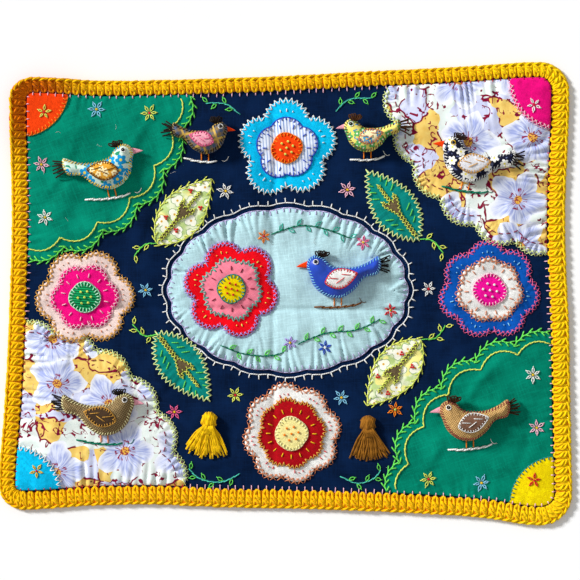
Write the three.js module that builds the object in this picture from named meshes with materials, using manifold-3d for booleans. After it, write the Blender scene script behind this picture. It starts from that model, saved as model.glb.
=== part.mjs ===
// An arpillera: a hand-sewn applique cloth with a crocheted border, lying flat with its face up.
// Millimetres. +X is towards the right edge, +Y towards the top edge, +Z up from the surface it lies on.
// The origin is at the middle of its underside.
import * as THREE from "three";
import { mergeVertices } from "three/addons/utils/BufferGeometryUtils.js";
import Module from "manifold-3d";

const wasm = await Module();
wasm.setup();

// Driving dimensions
const clothThick = 2;
const patchThick = 1;
const pieceGap = 0.3;
const borderGap = 0.4;
const fanInset = 0.9;
const stuffedSlack = 0.15;
const puff = 2.4;
const stitchCount = 245;
const borderWidth = { top: 11, right: 13.4, bottom: 14.3, left: 12.3 };

// The outer edge of the crochet, anticlockwise from the top right. A row with a radius is a corner:
// x and y say where its two sides would meet.
const outerEdge = [
  { x: 237.4, y: 193.6, radius: 24 },
  { x: 147, y: 189.7 },
  { x: 66, y: 185.6 },
  { x: -15, y: 181.4 },
  { x: -97, y: 178.8 },
  { x: -155, y: 178 },
  { x: -230.4, y: 180.6, radius: 18 },
  { x: -229, y: 57 },
  { x: -231.6, y: -27 },
  { x: -235, y: -94 },
  { x: -239.8, y: -180.4, radius: 20 },
  { x: -156, y: -176.7 },
  { x: -116, y: -176.1 },
  { x: -55, y: -178.4 },
  { x: 26, y: -180.2 },
  { x: 106, y: -183.4 },
  { x: 167, y: -187.6 },
  { x: 239.8, y: -193.6, radius: 26 },
  { x: 238.6, y: -110 },
  { x: 237.6, y: -44 },
  { x: 233.9, y: 57 },
];
const cornerSteps = 4;

// One crochet stitch across the border: how far out from the cloth, as a share of the width, and how
// high, on the stitch's post and in the groove beside it.
const stitchProfile = [
  { across: 0, post: 0, groove: 0 },
  { across: 0, post: 2.8, groove: 2.5 },
  { across: 0.33, post: 4.9, groove: 3.1 },
  { across: 0.68, post: 3.6, groove: 2.8 },
  { across: 0.87, post: 4.5, groove: 3.9 },
  { across: 1, post: 0, groove: 0 },
];

// The cloth lies in four soft swells, parted by two old fold lines and held flat at its edge.
// Each row is a grid line: where it is, how far the swell has risen there, and how deep the fold is.
const foldX = [
  { at: -250, rise: 0, fold: 0 },
  { at: -213, rise: 0, fold: 0 },
  { at: -192, rise: 0.9, fold: 0 },
  { at: -120, rise: 1, fold: 0 },
  { at: -26, rise: 0.95, fold: 0 },
  { at: -16, rise: 0.9, fold: 0.75 },
  { at: -10, rise: 0.9, fold: 1 },
  { at: -4, rise: 0.9, fold: 0.5 },
  { at: 8, rise: 1, fold: 0 },
  { at: 110, rise: 1.1, fold: 0 },
  { at: 194, rise: 1, fold: 0 },
  { at: 217, rise: 0, fold: 0 },
  { at: 250, rise: 0, fold: 0 },
];
const foldY = [
  { at: -205, rise: 0, fold: 0 },
  { at: -158, rise: 0, fold: 0 },
  { at: -138, rise: 0.9, fold: 0 },
  { at: -80, rise: 1, fold: 0 },
  { at: -32, rise: 0.95, fold: 0 },
  { at: -20, rise: 0.9, fold: 0.7 },
  { at: -13, rise: 0.9, fold: 1 },
  { at: -6, rise: 0.9, fold: 0.5 },
  { at: 6, rise: 1, fold: 0 },
  { at: 80, rise: 1.05, fold: 0 },
  { at: 140, rise: 1, fold: 0 },
  { at: 162, rise: 0, fold: 0 },
  { at: 205, rise: 0, fold: 0 },
];

// How strongly each fold shows, along its own length.
const uprightFold = { bottom: 0.45, top: 1, from: -158, to: 162 };
const levelFold = { middle: 0.45, side: 0.9, reach: 200 };

const colour = {
  navy: 0x0b1a3e,
  yarnYellow: 0xf7c416,
  yarnBrown: 0xa86c1c,
  emerald: 0x087a5c,
  floral: 0xe6dcc8,
  paleBlue: 0xbfd4da,
  teal: 0x0f8f86,
  paleGreen: 0xc6d98f,
  olive: 0x6b5b40,
  magenta: 0xe3127c,
  blush: 0xf2d9d2,
  corduroy: 0x16a062,
  turquoise: 0x12b4ea,
  striped: 0xaebfdf,
  orange: 0xf4470f,
  white: 0xeceeea,
  crimson: 0xb4101c,
  cream: 0xf1e59a,
  royal: 0x0d4fa0,
  pink: 0xf5149a,
  red: 0xee1420,
  salmon: 0xe9788f,
  yellow: 0xffd70f,
  blueCheck: 0x2f9ac0,
  mustard: 0xe0a63c,
  plaid: 0xa88c46,
  rose: 0xf0a9b8,
  butter: 0xe8d86c,
  ivory: 0xf4e6b4,
  ink: 0x2a2c44,
  pearl: 0xe9e9ee,
  cobalt: 0x1c4aa8,
  burlap: 0x8a7352,
  bark: 0x4a3a2a,
  wheat: 0xc9a06a,
  cocoa: 0x7a5a48,
};

// The quarter fans in the corners: where a fan's point is, and which way it opens. Its handle is a
// plain quarter of felt at that point.
const fanSize = { radius: 138, scallops: 6, depth: 8, steps: 6 };
const handleSize = { radius: 40, steps: 10 };
const fans = [
  { name: "fan_top_left", x: -222, y: 172, opens: -90, cloth: "emerald", handle: "orange" },
  { name: "fan_top_right", x: 228, y: 178, opens: 180, cloth: "floral", handle: "magenta" },
  { name: "fan_bottom_right", x: 228, y: -176, opens: 90, cloth: "emerald", handle: "yellow" },
  { name: "fan_bottom_left", x: -228, y: -168, opens: 0, cloth: "floral", handle: "turquoise" },
];

const medallion = { x: 2, y: 3, halfWidth: 101, halfHeight: 69, scallops: 20, depth: 0.03, steps: 4 };

// Each flower is three cloths, the largest at the bottom. Level 1 lies on the ground cloth, level 2 on
// a fan or the medallion.
const lobeSteps = 6;
const handCut = 0.018;
const flowers = [
  { name: "flower_top", x: 1, y: 122, level: 1, turn: 18, layers: [
    { part: "petals", radius: 41, lobes: 5, depth: 0.26, cloth: "turquoise" },
    { part: "inner", radius: 26, lobes: 5, depth: 0.16, cloth: "striped" },
    { part: "centre", radius: 13, lobes: 4, depth: 0.08, cloth: "orange" },
  ] },
  { name: "flower_left", x: -168, y: -3, level: 2, turn: 4, layers: [
    { part: "petals", radius: 40, lobes: 6, depth: 0.2, cloth: "blush" },
    { part: "inner", radius: 28, lobes: 6, depth: 0.17, cloth: "magenta" },
    { part: "centre", radius: 13, lobes: 4, depth: 0.08, cloth: "corduroy" },
  ] },
  { name: "flower_right", x: 171, y: 3, level: 2, turn: -9, layers: [
    { part: "petals", radius: 41, lobes: 7, depth: 0.18, cloth: "royal" },
    { part: "inner", radius: 27, lobes: 7, depth: 0.13, cloth: "white" },
    { part: "centre", radius: 14, lobes: 4, depth: 0.08, cloth: "pink" },
  ] },
  { name: "flower_bottom", x: 5, y: -117, level: 1, turn: 11, layers: [
    { part: "petals", radius: 41, lobes: 8, depth: 0.15, cloth: "white" },
    { part: "inner", radius: 29, lobes: 8, depth: 0.12, cloth: "crimson" },
    { part: "centre", radius: 14, lobes: 4, depth: 0.08, cloth: "cream" },
  ] },
  { name: "flower_middle", x: -45, y: 4, level: 2, turn: -14, layers: [
    { part: "petals", radius: 40, lobes: 6, depth: 0.24, cloth: "red" },
    { part: "inner", radius: 26, lobes: 6, depth: 0.16, cloth: "salmon" },
    { part: "centre", radius: 12, lobes: 4, depth: 0.08, cloth: "yellow" },
  ] },
];

const leafSize = { length: 72, width: 37, steps: 9 };
const leaves = [
  { name: "leaf_top_left", x: -85, y: 69, turn: 50, cloth: "paleGreen" },
  { name: "leaf_top_right", x: 90, y: 74, turn: 127, cloth: "teal" },
  { name: "leaf_bottom_right", x: 91, y: -66, turn: 231, cloth: "paleGreen" },
  { name: "leaf_bottom_left", x: -86, y: -61, turn: -52, cloth: "teal" },
];

// The felt rib on a leaf, one side of it, as shares of the leaf's length and width.
const ribOutline = [
  { along: -0.44, across: 0.05 },
  { along: -0.12, across: 0.045 },
  { along: 0.05, across: 0.2 },
  { along: 0.12, across: 0.16 },
  { along: 0.03, across: 0.04 },
  { along: 0.3, across: 0.03 },
];

// A stuffed bird seen from its side, facing +X.
const birdOutline = [
  { x: 21.5, y: 9 },
  { x: 20, y: 14 },
  { x: 14.5, y: 17 },
  { x: 8.5, y: 14.5 },
  { x: 4, y: 9.5 },
  { x: -5, y: 7.2 },
  { x: -14, y: 7 },
  { x: -22, y: 9.2 },
  { x: -30, y: 12 },
  { x: -31, y: 5.5 },
  { x: -28, y: -0.5 },
  { x: -19, y: -2.5 },
  { x: -11, y: -10 },
  { x: 0, y: -15 },
  { x: 11, y: -12 },
  { x: 18, y: -4 },
  { x: 20, y: 3 },
];
const birdBody = { middle: { x: 1, y: -1 }, steps: 22, top: 13.2, rings: [
  { scale: 0.84, height: 0 },
  { scale: 1, height: 3.6 },
  { scale: 0.87, height: 8.6 },
  { scale: 0.52, height: 12.2 },
] };
const wing = { x: -2, y: -1, length: 24, width: 14, turn: 168, steps: 6, lift: 2.4 };
const beak = { base: 18, tip: 28.5, y: 10.5, halfWidth: 3.2, low: 1.5, high: 5.2, cloth: "rose" };

const birds = [
  { name: "bird_top_left", x: -150, y: 104, turn: 8, size: 1.16, flip: false,
    cloth: "blueCheck", wing: "mustard" },
  { name: "bird_top_middle_left", x: -68, y: 130, turn: -5, size: 0.9, flip: false,
    cloth: "plaid", wing: "rose" },
  { name: "bird_top_middle_right", x: 69, y: 132, turn: 6, size: 0.92, flip: true,
    cloth: "butter", wing: "ivory" },
  { name: "bird_top_right", x: 155, y: 110, turn: -7, size: 1.18, flip: true,
    cloth: "ink", wing: "pearl" },
  { name: "bird_medallion", x: 44, y: 14, turn: 5, size: 1.2, flip: true,
    cloth: "cobalt", wing: "white" },
  { name: "bird_bottom_left", x: -152, y: -101, turn: -4, size: 1.18, flip: false,
    cloth: "burlap", wing: "bark" },
  { name: "bird_bottom_right", x: 154, y: -106, turn: 7, size: 1.14, flip: true,
    cloth: "wheat", wing: "cocoa" },
];

// Two yarn tassels, sewn on by their heads, their locks fanned out below.
const tasselHead = { radius: 6.5, steps: 12, top: 7.4, rings: [
  { scale: 0.8, height: 0 },
  { scale: 1, height: 3 },
  { scale: 0.7, height: 6.4 },
] };
const lock = { count: 13, spread: 74, start: 3, reach: 31, uneven: 2, fill: 0.74, rootHigh: 4.2, tipHigh: 1.8 };
const tassels = [
  { name: "tassel_left", x: -64, y: -106, turn: -96, cloth: "yarnYellow" },
  { name: "tassel_right", x: 69, y: -109, turn: -86, cloth: "yarnBrown" },
];

const parts = new THREE.Group();
const prismTop = 40;

function degrees(angle) {
  return THREE.MathUtils.degToRad(angle);
}

// Places a point of a small drawing: flipped, enlarged, turned and moved.
function placed(point, { x = 0, y = 0, turn = 0, size = 1, flip = false }) {
  const side = flip ? -1 : 1;
  const spot = new THREE.Vector2(point.x * size * side, point.y * size);
  spot.rotateAround(new THREE.Vector2(), degrees(turn));
  return spot.add(new THREE.Vector2(x, y));
}

// A point at a distance and an angle from another.
function around({ x, y }, reach, angle) {
  return new THREE.Vector2(x + reach * Math.cos(angle), y + reach * Math.sin(angle));
}

// A smooth closed curve through the given points, as evenly spaced points. A point may bring its slope.
function smoothLoop(points, count) {
  const total = points.length;
  const lengths = points.map((p, i) => p.distanceTo(points[(i + 1) % total]));
  const slopes = points.map((p, i) => {
    if (p.slope) return p.slope;
    const before = (i + total - 1) % total;
    const into = p.clone().sub(points[before]).divideScalar(lengths[before]);
    const out = points[(i + 1) % total].clone().sub(p).divideScalar(lengths[i]);
    into.multiplyScalar(lengths[i]).addScaledVector(out, lengths[before]);
    return into.divideScalar(lengths[before] + lengths[i]);
  });
  const fine = [];
  const finePerPiece = 40;
  for (let i = 0; i < total; i++) {
    const next = (i + 1) % total;
    for (let k = 0; k < finePerPiece; k++) {
      const t = k / finePerPiece;
      const spot = points[i].clone().multiplyScalar((1 + 2 * t) * (1 - t) ** 2);
      spot.addScaledVector(slopes[i], lengths[i] * t * (1 - t) ** 2);
      spot.addScaledVector(points[next], t * t * (3 - 2 * t));
      spot.addScaledVector(slopes[next], lengths[i] * t * t * (t - 1));
      fine.push(spot);
    }
  }
  return evenlySpaced(fine, count);
}

function evenlySpaced(loop, count) {
  const reached = [0];
  loop.forEach((p, i) => reached.push(reached[i] + p.distanceTo(loop[(i + 1) % loop.length])));
  const even = [];
  let at = 0;
  for (let k = 0; k < count; k++) {
    const wanted = (reached[loop.length] * k) / count;
    while (reached[at + 1] < wanted) at++;
    const share = (wanted - reached[at]) / (reached[at + 1] - reached[at]);
    even.push(loop[at].clone().lerp(loop[(at + 1) % loop.length], share));
  }
  return even;
}

// The outer edge of the border, with its corners rounded.
function outerLoop(count) {
  const points = [];
  for (const { x, y, radius } of outerEdge) {
    if (!radius) {
      points.push(new THREE.Vector2(x, y));
      continue;
    }
    const right = Math.sign(x);
    const top = Math.sign(y);
    const middle = { x: x - right * radius, y: y - top * radius };
    const first = right === top ? Math.atan2(0, right) : Math.atan2(top, 0);
    for (let k = 0; k <= cornerSteps; k++) {
      const angle = first + (k / cornerSteps) * (Math.PI / 2);
      const spot = around(middle, radius, angle);
      spot.slope = new THREE.Vector2(-Math.sin(angle), Math.cos(angle));
      points.push(spot);
    }
  }
  return smoothLoop(points, count);
}

// For each point of a loop, the direction out of it.
function outwardOf(loop) {
  return loop.map((p, i) => {
    const before = loop[(i + loop.length - 1) % loop.length];
    const after = loop[(i + 1) % loop.length];
    const along = after.clone().sub(before).normalize();
    return new THREE.Vector2(along.y, -along.x);
  });
}

function widthAt(out) {
  const sideways = out.x > 0 ? borderWidth.right : borderWidth.left;
  const upright = out.y > 0 ? borderWidth.top : borderWidth.bottom;
  return sideways * out.x ** 2 + upright * out.y ** 2;
}

const edgeLoop = outerLoop(stitchCount * 2);
const edgeOut = outwardOf(edgeLoop);

// The cloth's own outline: the border's inner edge moved in by inset, with fewer points where it is
// straight.
function fieldOutline(inset) {
  const mostTurn = degrees(5);
  const mostSteps = 8;
  const picked = [];
  let last = -mostSteps;
  edgeLoop.forEach((p, i) => {
    const turned = last < 0 ? Math.PI : edgeOut[i].angleTo(edgeOut[last]);
    if (i - last < mostSteps && turned < mostTurn) return;
    picked.push(p.clone().addScaledVector(edgeOut[i], -widthAt(edgeOut[i]) - inset));
    last = i;
  });
  return picked;
}

// How high the cloth lies above the surface, from a row of foldX and a row of foldY.
function swellAt(column, row) {
  const up = THREE.MathUtils.clamp((row.at - uprightFold.from) / (uprightFold.to - uprightFold.from), 0, 1);
  const out = THREE.MathUtils.clamp(Math.abs(column.at) / levelFold.reach, 0, 1);
  const upright = column.fold * THREE.MathUtils.lerp(uprightFold.bottom, uprightFold.top, up);
  const level = row.fold * THREE.MathUtils.lerp(levelFold.middle, levelFold.side, out);
  return puff * column.rise * row.rise * (1 - upright) * (1 - level);
}

// A row between two rows of foldX or foldY.
function rowBetween(rows, at) {
  const next = rows.findIndex((row) => row.at > at);
  const [a, b] = [rows[next - 1], rows[next]];
  const share = (at - a.at) / (b.at - a.at);
  const rise = THREE.MathUtils.lerp(a.rise, b.rise, share);
  const fold = THREE.MathUtils.lerp(a.fold, b.fold, share);
  return { at, rise, fold };
}

// The underside of a patch on the given level.
function levelLow(level) {
  return clothThick + pieceGap + (level - 1) * (patchThick + pieceGap);
}

// The height at which a stuffed piece rests on the given level.
function restingHeight(level, { x, y }) {
  return swellAt(rowBetween(foldX, x), rowBetween(foldY, y)) + levelLow(level + 1) + stuffedSlack;
}

function geometryFrom(corners) {
  const geometry = new THREE.BufferGeometry();
  geometry.setAttribute("position", new THREE.Float32BufferAttribute(corners.flat(), 3));
  return geometry;
}

function solidFrom(geometry) {
  const bare = new THREE.BufferGeometry();
  bare.setAttribute("position", geometry.getAttribute("position"));
  bare.setIndex(geometry.index);
  const merged = mergeVertices(bare, 1e-4);
  return new wasm.Manifold(new wasm.Mesh({
    numProp: 3,
    vertProperties: new Float32Array(merged.attributes.position.array),
    triVerts: new Uint32Array(merged.index.array),
  }));
}

// A closed solid between two heights above the swelling cloth, wider than the cloth.
function layerSlab(low, high) {
  const triangles = [];
  const corner = (i, k, height) => [foldX[i].at, foldY[k].at, swellAt(foldX[i], foldY[k]) + height];
  const quad = (a, b, c, d) => triangles.push(a, b, c, a, c, d);
  const lastX = foldX.length - 1;
  const lastY = foldY.length - 1;
  for (let i = 0; i < lastX; i++) {
    for (let k = 0; k < lastY; k++) {
      quad(corner(i, k, high), corner(i + 1, k, high), corner(i + 1, k + 1, high), corner(i, k + 1, high));
      triangles.push(corner(i, k, low), corner(i + 1, k + 1, low), corner(i + 1, k, low));
      triangles.push(corner(i, k, low), corner(i, k + 1, low), corner(i + 1, k + 1, low));
    }
    quad(corner(i, 0, low), corner(i + 1, 0, low), corner(i + 1, 0, high), corner(i, 0, high));
    quad(corner(i + 1, lastY, low), corner(i, lastY, low), corner(i, lastY, high), corner(i + 1, lastY, high));
  }
  for (let k = 0; k < lastY; k++) {
    quad(corner(0, k + 1, low), corner(0, k, low), corner(0, k, high), corner(0, k + 1, high));
    quad(corner(lastX, k, low), corner(lastX, k + 1, low), corner(lastX, k + 1, high), corner(lastX, k, high));
  }
  return solidFrom(geometryFrom(triangles));
}

function prism(outline, low = -1, high = prismTop) {
  const flat = new THREE.ExtrudeGeometry(new THREE.Shape(outline), { depth: high - low, bevelEnabled: false });
  return solidFrom(flat.translate(0, 0, low));
}

function addPiece(name, solid, cloth, roughness = 0.9) {
  const mesh = solid.getMesh();
  const geometry = new THREE.BufferGeometry();
  geometry.setAttribute("position", new THREE.BufferAttribute(new Float32Array(mesh.vertProperties), 3));
  geometry.setIndex(new THREE.BufferAttribute(new Uint32Array(mesh.triVerts), 1));
  geometry.computeVertexNormals();
  const material = new THREE.MeshStandardMaterial({ color: colour[cloth], roughness, metalness: 0 });
  const piece = new THREE.Mesh(geometry, material);
  piece.name = name;
  parts.add(piece);
}

// The crocheted border, one ring of ridged stitches
function addBorder() {
  const triangles = [];
  const rows = stitchProfile.length;
  const spot = (step, row) => {
    const i = step % edgeLoop.length;
    const { across, post, groove } = stitchProfile[row % rows];
    const p = edgeLoop[i].clone().addScaledVector(edgeOut[i], -widthAt(edgeOut[i]) * (1 - across));
    return [p.x, p.y, i % 2 ? post : groove];
  };
  for (let i = 0; i < edgeLoop.length; i++) {
    for (let row = 0; row < rows; row++) {
      triangles.push(spot(i, row), spot(i, row + 1), spot(i + 1, row + 1));
      triangles.push(spot(i, row), spot(i + 1, row + 1), spot(i + 1, row));
    }
  }
  addPiece("crochet_border", solidFrom(geometryFrom(triangles)), "yarnYellow", 0.95);
}

// The ground cloth, which everything else is sewn to
function addGround() {
  const cloth = layerSlab(0, clothThick).intersect(prism(fieldOutline(borderGap)));
  addPiece("ground_cloth", cloth, "navy");
}

// A thin patch that follows the cloth below it
const slabs = new Map();
function patchOf(outline, level) {
  if (!slabs.has(level)) slabs.set(level, layerSlab(levelLow(level), levelLow(level) + patchThick));
  return slabs.get(level).intersect(prism(outline));
}

// The corner fans and their handles run to the cloth's edge, where the border holds them
function fanLoop(fan) {
  const points = [new THREE.Vector2(fan.x, fan.y)];
  const count = fanSize.scallops * fanSize.steps;
  for (let k = 0; k <= count; k++) {
    const share = k / count;
    const scallop = Math.abs(Math.sin(share * fanSize.scallops * Math.PI)) ** 0.8;
    points.push(around(fan, fanSize.radius + fanSize.depth * scallop, degrees(fan.opens + 90 * share)));
  }
  return points;
}

function handleLoop(fan) {
  const points = [new THREE.Vector2(fan.x, fan.y)];
  for (let k = 0; k <= handleSize.steps; k++) {
    points.push(around(fan, handleSize.radius, degrees(fan.opens + (90 * k) / handleSize.steps)));
  }
  return points;
}

function addFan(fan) {
  const area = prism(fieldOutline(borderGap + fanInset));
  addPiece(fan.name, patchOf(fanLoop(fan), 1).intersect(area), fan.cloth);
  addPiece(`${fan.name}_handle`, patchOf(handleLoop(fan), 2).intersect(area), fan.handle);
}

// The scalloped oval in the middle
function addMedallion() {
  const { halfWidth, halfHeight, scallops, depth, steps } = medallion;
  const points = [];
  for (let k = 0; k < scallops * steps; k++) {
    const angle = (k / (scallops * steps)) * 2 * Math.PI;
    const reach = 1 - depth + depth * Math.abs(Math.cos((scallops * angle) / 2));
    points.push(new THREE.Vector2(
      medallion.x + halfWidth * reach * Math.cos(angle),
      medallion.y + halfHeight * reach * Math.sin(angle),
    ));
  }
  addPiece("medallion", patchOf(points, 1), "paleBlue");
}

// A round-lobed loop, cut a little unevenly by hand
function lobedLoop(flower, { radius, lobes, depth }) {
  const points = [];
  for (let k = 0; k < lobes * lobeSteps; k++) {
    const angle = (k / (lobes * lobeSteps)) * 2 * Math.PI;
    const petal = 1 - depth + depth * Math.abs(Math.cos((lobes * angle) / 2)) ** 0.7;
    const uneven = 1 + handCut * (Math.sin(2 * angle + flower.x) + Math.sin(3 * angle + flower.y));
    points.push(placed(around({ x: 0, y: 0 }, radius * petal * uneven, angle), flower));
  }
  return points;
}

function addFlower(flower) {
  flower.layers.forEach((layer, k) => {
    addPiece(`${flower.name}_${layer.part}`, patchOf(lobedLoop(flower, layer), flower.level + k), layer.cloth);
  });
}

// A pointed leaf along its own X axis, and the rib on it
function leafLoop({ length, width, steps }) {
  const spot = (share, side) => ({
    x: (share - 0.5) * length,
    y: (side * width * Math.sin(Math.PI * share ** 0.85) ** 0.9) / 2,
  });
  const points = [];
  for (let k = 0; k < steps; k++) points.push(spot(k / steps, -1));
  for (let k = steps; k > 0; k--) points.push(spot(k / steps, 1));
  return points;
}

function ribLoop({ length, width }) {
  const near = ribOutline.map(({ along, across }) => ({ x: along * length, y: -across * width }));
  const far = near.map(({ x, y }) => ({ x, y: -y })).reverse();
  return [...near, ...far];
}

function addLeaf(leaf) {
  const put = (p) => placed(p, leaf);
  addPiece(leaf.name, patchOf(leafLoop(leafSize).map(put), 1), leaf.cloth);
  addPiece(`${leaf.name}_rib`, patchOf(ribLoop(leafSize).map(put), 2), "olive");
}

// A stuffed shape: rings of the outline drawn in towards its middle, one above the other
function stuffed(outline, middle, { rings, top }, low) {
  const triangles = [];
  const last = rings.length - 1;
  const spot = (ring, k) => {
    const p = outline[k % outline.length];
    const { scale, height } = rings[ring];
    return [middle.x + (p.x - middle.x) * scale, middle.y + (p.y - middle.y) * scale, low + height];
  };
  for (let k = 0; k < outline.length; k++) {
    triangles.push([middle.x, middle.y, low + rings[0].height], spot(0, k + 1), spot(0, k));
    for (let ring = 0; ring < last; ring++) {
      triangles.push(spot(ring, k), spot(ring, k + 1), spot(ring + 1, k + 1));
      triangles.push(spot(ring, k), spot(ring + 1, k + 1), spot(ring + 1, k));
    }
    triangles.push(spot(last, k), spot(last, k + 1), [middle.x, middle.y, low + top]);
  }
  return solidFrom(geometryFrom(triangles));
}

// The same stuffing, larger all round by a gap, to keep a neighbour clear of it
function grownBody({ rings, top }, gap) {
  const reach = 20;
  const grown = rings.map(({ scale, height }) => ({ scale: scale + gap / reach, height }));
  return { rings: grown, top: top + gap };
}

function addBird(bird) {
  const put = (points) => {
    const spots = points.map((p) => placed(p, bird));
    return bird.flip ? spots.reverse() : spots;
  };
  const outline = put(smoothLoop(birdOutline.map(({ x, y }) => new THREE.Vector2(x, y)), birdBody.steps));
  const middle = placed(birdBody.middle, bird);
  const low = restingHeight(1, bird);
  const body = stuffed(outline, middle, birdBody, low);
  addPiece(bird.name, body, bird.cloth);

  // The wing is a padded flap that follows the body's side.
  const wingArea = prism(put(leafLoop(wing).map((p) => placed(p, wing))), low);
  const flap = body.translate([0, 0, wing.lift + pieceGap]).intersect(wingArea);
  addPiece(`${bird.name}_wing`, flap.subtract(body.translate([0, 0, pieceGap])), bird.wing);

  // The beak is a felt point sewn to the front of the head.
  const point = put([
    { x: beak.base, y: beak.y - beak.halfWidth },
    { x: beak.tip, y: beak.y },
    { x: beak.base, y: beak.y + beak.halfWidth },
  ]);
  const head = stuffed(outline, middle, grownBody(birdBody, pieceGap), low);
  addPiece(`${bird.name}_beak`, prism(point, low + beak.low, low + beak.high).subtract(head), beak.cloth);
}

// One four-sided lock of yarn, wider and lower towards its tip
function lockBar(tassel, turn, reach, low, halfSpread) {
  const ends = [];
  for (const [along, high] of [[lock.start, lock.rootHigh], [reach, lock.tipHigh]]) {
    for (const [side, height] of [[-1, 0], [1, 0], [1, high], [-1, high]]) {
      const p = placed({ x: along, y: side * along * Math.tan(halfSpread) }, { ...tassel, turn });
      ends.push([p.x, p.y, low + height]);
    }
  }
  const [n0, n1, n2, n3, f0, f1, f2, f3] = ends;
  const triangles = [n0, n3, n2, n0, n2, n1, f0, f1, f2, f0, f2, f3];
  for (let k = 0; k < 4; k++) {
    const next = (k + 1) % 4;
    triangles.push(ends[k], ends[next], ends[next + 4], ends[k], ends[next + 4], ends[k + 4]);
  }
  return solidFrom(geometryFrom(triangles));
}

function addTassel(tassel) {
  const low = restingHeight(0, tassel);
  const ring = [];
  for (let k = 0; k < tasselHead.steps; k++) {
    ring.push(around(tassel, tasselHead.radius, (k / tasselHead.steps) * 2 * Math.PI));
  }
  let whole = stuffed(ring, tassel, tasselHead, low);
  const step = lock.spread / (lock.count - 1);
  for (let k = 0; k < lock.count; k++) {
    const turn = tassel.turn - lock.spread / 2 + k * step;
    const reach = lock.reach + lock.uneven * Math.sin(2.4 * k + tassel.x);
    whole = whole.add(lockBar(tassel, turn, reach, low, (degrees(step) * lock.fill) / 2));
  }
  addPiece(tassel.name, whole, tassel.cloth);
}

addGround();
addBorder();
fans.forEach(addFan);
addMedallion();
flowers.forEach(addFlower);
leaves.forEach(addLeaf);
birds.forEach(addBird);
tassels.forEach(addTassel);

export default parts;
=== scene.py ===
"""An arpillera: a hand-sewn applique cloth with a crocheted border, lying face up on a pale floor.

Lengths are in millimetres until a mesh is made. +X is to the right, +Y to the top edge, +Z up.
"""
import math
import random

import bpy
import numpy as np
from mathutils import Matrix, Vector, geometry, kdtree
from mathutils.bvhtree import BVHTree


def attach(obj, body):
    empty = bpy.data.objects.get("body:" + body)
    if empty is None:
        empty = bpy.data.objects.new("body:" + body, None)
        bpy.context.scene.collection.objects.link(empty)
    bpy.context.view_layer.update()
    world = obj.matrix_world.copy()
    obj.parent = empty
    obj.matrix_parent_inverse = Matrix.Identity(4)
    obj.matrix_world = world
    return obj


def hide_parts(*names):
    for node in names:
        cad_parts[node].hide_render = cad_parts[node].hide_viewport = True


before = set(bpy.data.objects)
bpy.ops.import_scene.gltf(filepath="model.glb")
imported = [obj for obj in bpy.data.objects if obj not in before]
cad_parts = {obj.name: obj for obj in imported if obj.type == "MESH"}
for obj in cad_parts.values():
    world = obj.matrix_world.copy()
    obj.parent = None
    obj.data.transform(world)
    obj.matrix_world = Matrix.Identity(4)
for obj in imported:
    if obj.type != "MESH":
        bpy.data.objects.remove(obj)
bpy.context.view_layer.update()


def table(columns, *rows):
    """Rows of values as dictionaries, whose keys are the columns' names."""
    return [dict(zip(columns.split(), row)) for row in rows]


MM = 0.001

# Driving sizes
CLOTH_THICK = 2.0
PATCH_THICK = 1.0
PIECE_GAP = 0.3
BORDER_GAP = 0.4
FAN_INSET = 0.9
PUFF = 2.4
RUMPLE = 1.9
STITCH_COUNT = 245
STITCH_PITCH = 6.7
HEM_PITCH = 6.55
YARN_RADIUS = 1.26
WEAVE_DEPTH = 0.03
THREAD_SIDES = 5
YARN_SIDES = 6
BORDER_WIDTH = {"top": 11.0, "right": 13.4, "bottom": 14.3, "left": 12.3}

# The outer edge of the crochet, anticlockwise from the top right. A row with a radius is a corner:
# x and y say where its two sides would meet.
OUTER_EDGE = [
    (237.4, 193.6, 24), (147, 189.7, 0), (66, 185.6, 0), (-15, 181.4, 0), (-97, 178.8, 0), (-155, 178, 0),
    (-230.4, 180.6, 18), (-229, 57, 0), (-231.6, -27, 0), (-235, -94, 0),
    (-239.8, -180.4, 20), (-156, -176.7, 0), (-116, -176.1, 0), (-55, -178.4, 0), (26, -180.2, 0),
    (106, -183.4, 0), (167, -187.6, 0),
    (239.8, -193.6, 26), (238.6, -110, 0), (237.6, -44, 0), (233.9, 57, 0),
]
CORNER_STEPS = 4
EDGE_FINENESS = 8

# How far the cloth's swell has risen, and how deep the old fold is, along each axis.
FOLD_X = [
    (-250, 0, 0), (-213, 0, 0), (-192, 0.9, 0), (-120, 1, 0), (-26, 0.95, 0), (-16, 0.9, 0.75),
    (-10, 0.9, 1), (-4, 0.9, 0.5), (8, 1, 0), (110, 1.1, 0), (194, 1, 0), (217, 0, 0), (250, 0, 0),
]
FOLD_Y = [
    (-205, 0, 0), (-158, 0, 0), (-138, 0.9, 0), (-80, 1, 0), (-32, 0.95, 0), (-20, 0.9, 0.7),
    (-13, 0.9, 1), (-6, 0.9, 0.5), (6, 1, 0), (80, 1.05, 0), (140, 1, 0), (162, 0, 0), (205, 0, 0),
]
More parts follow.
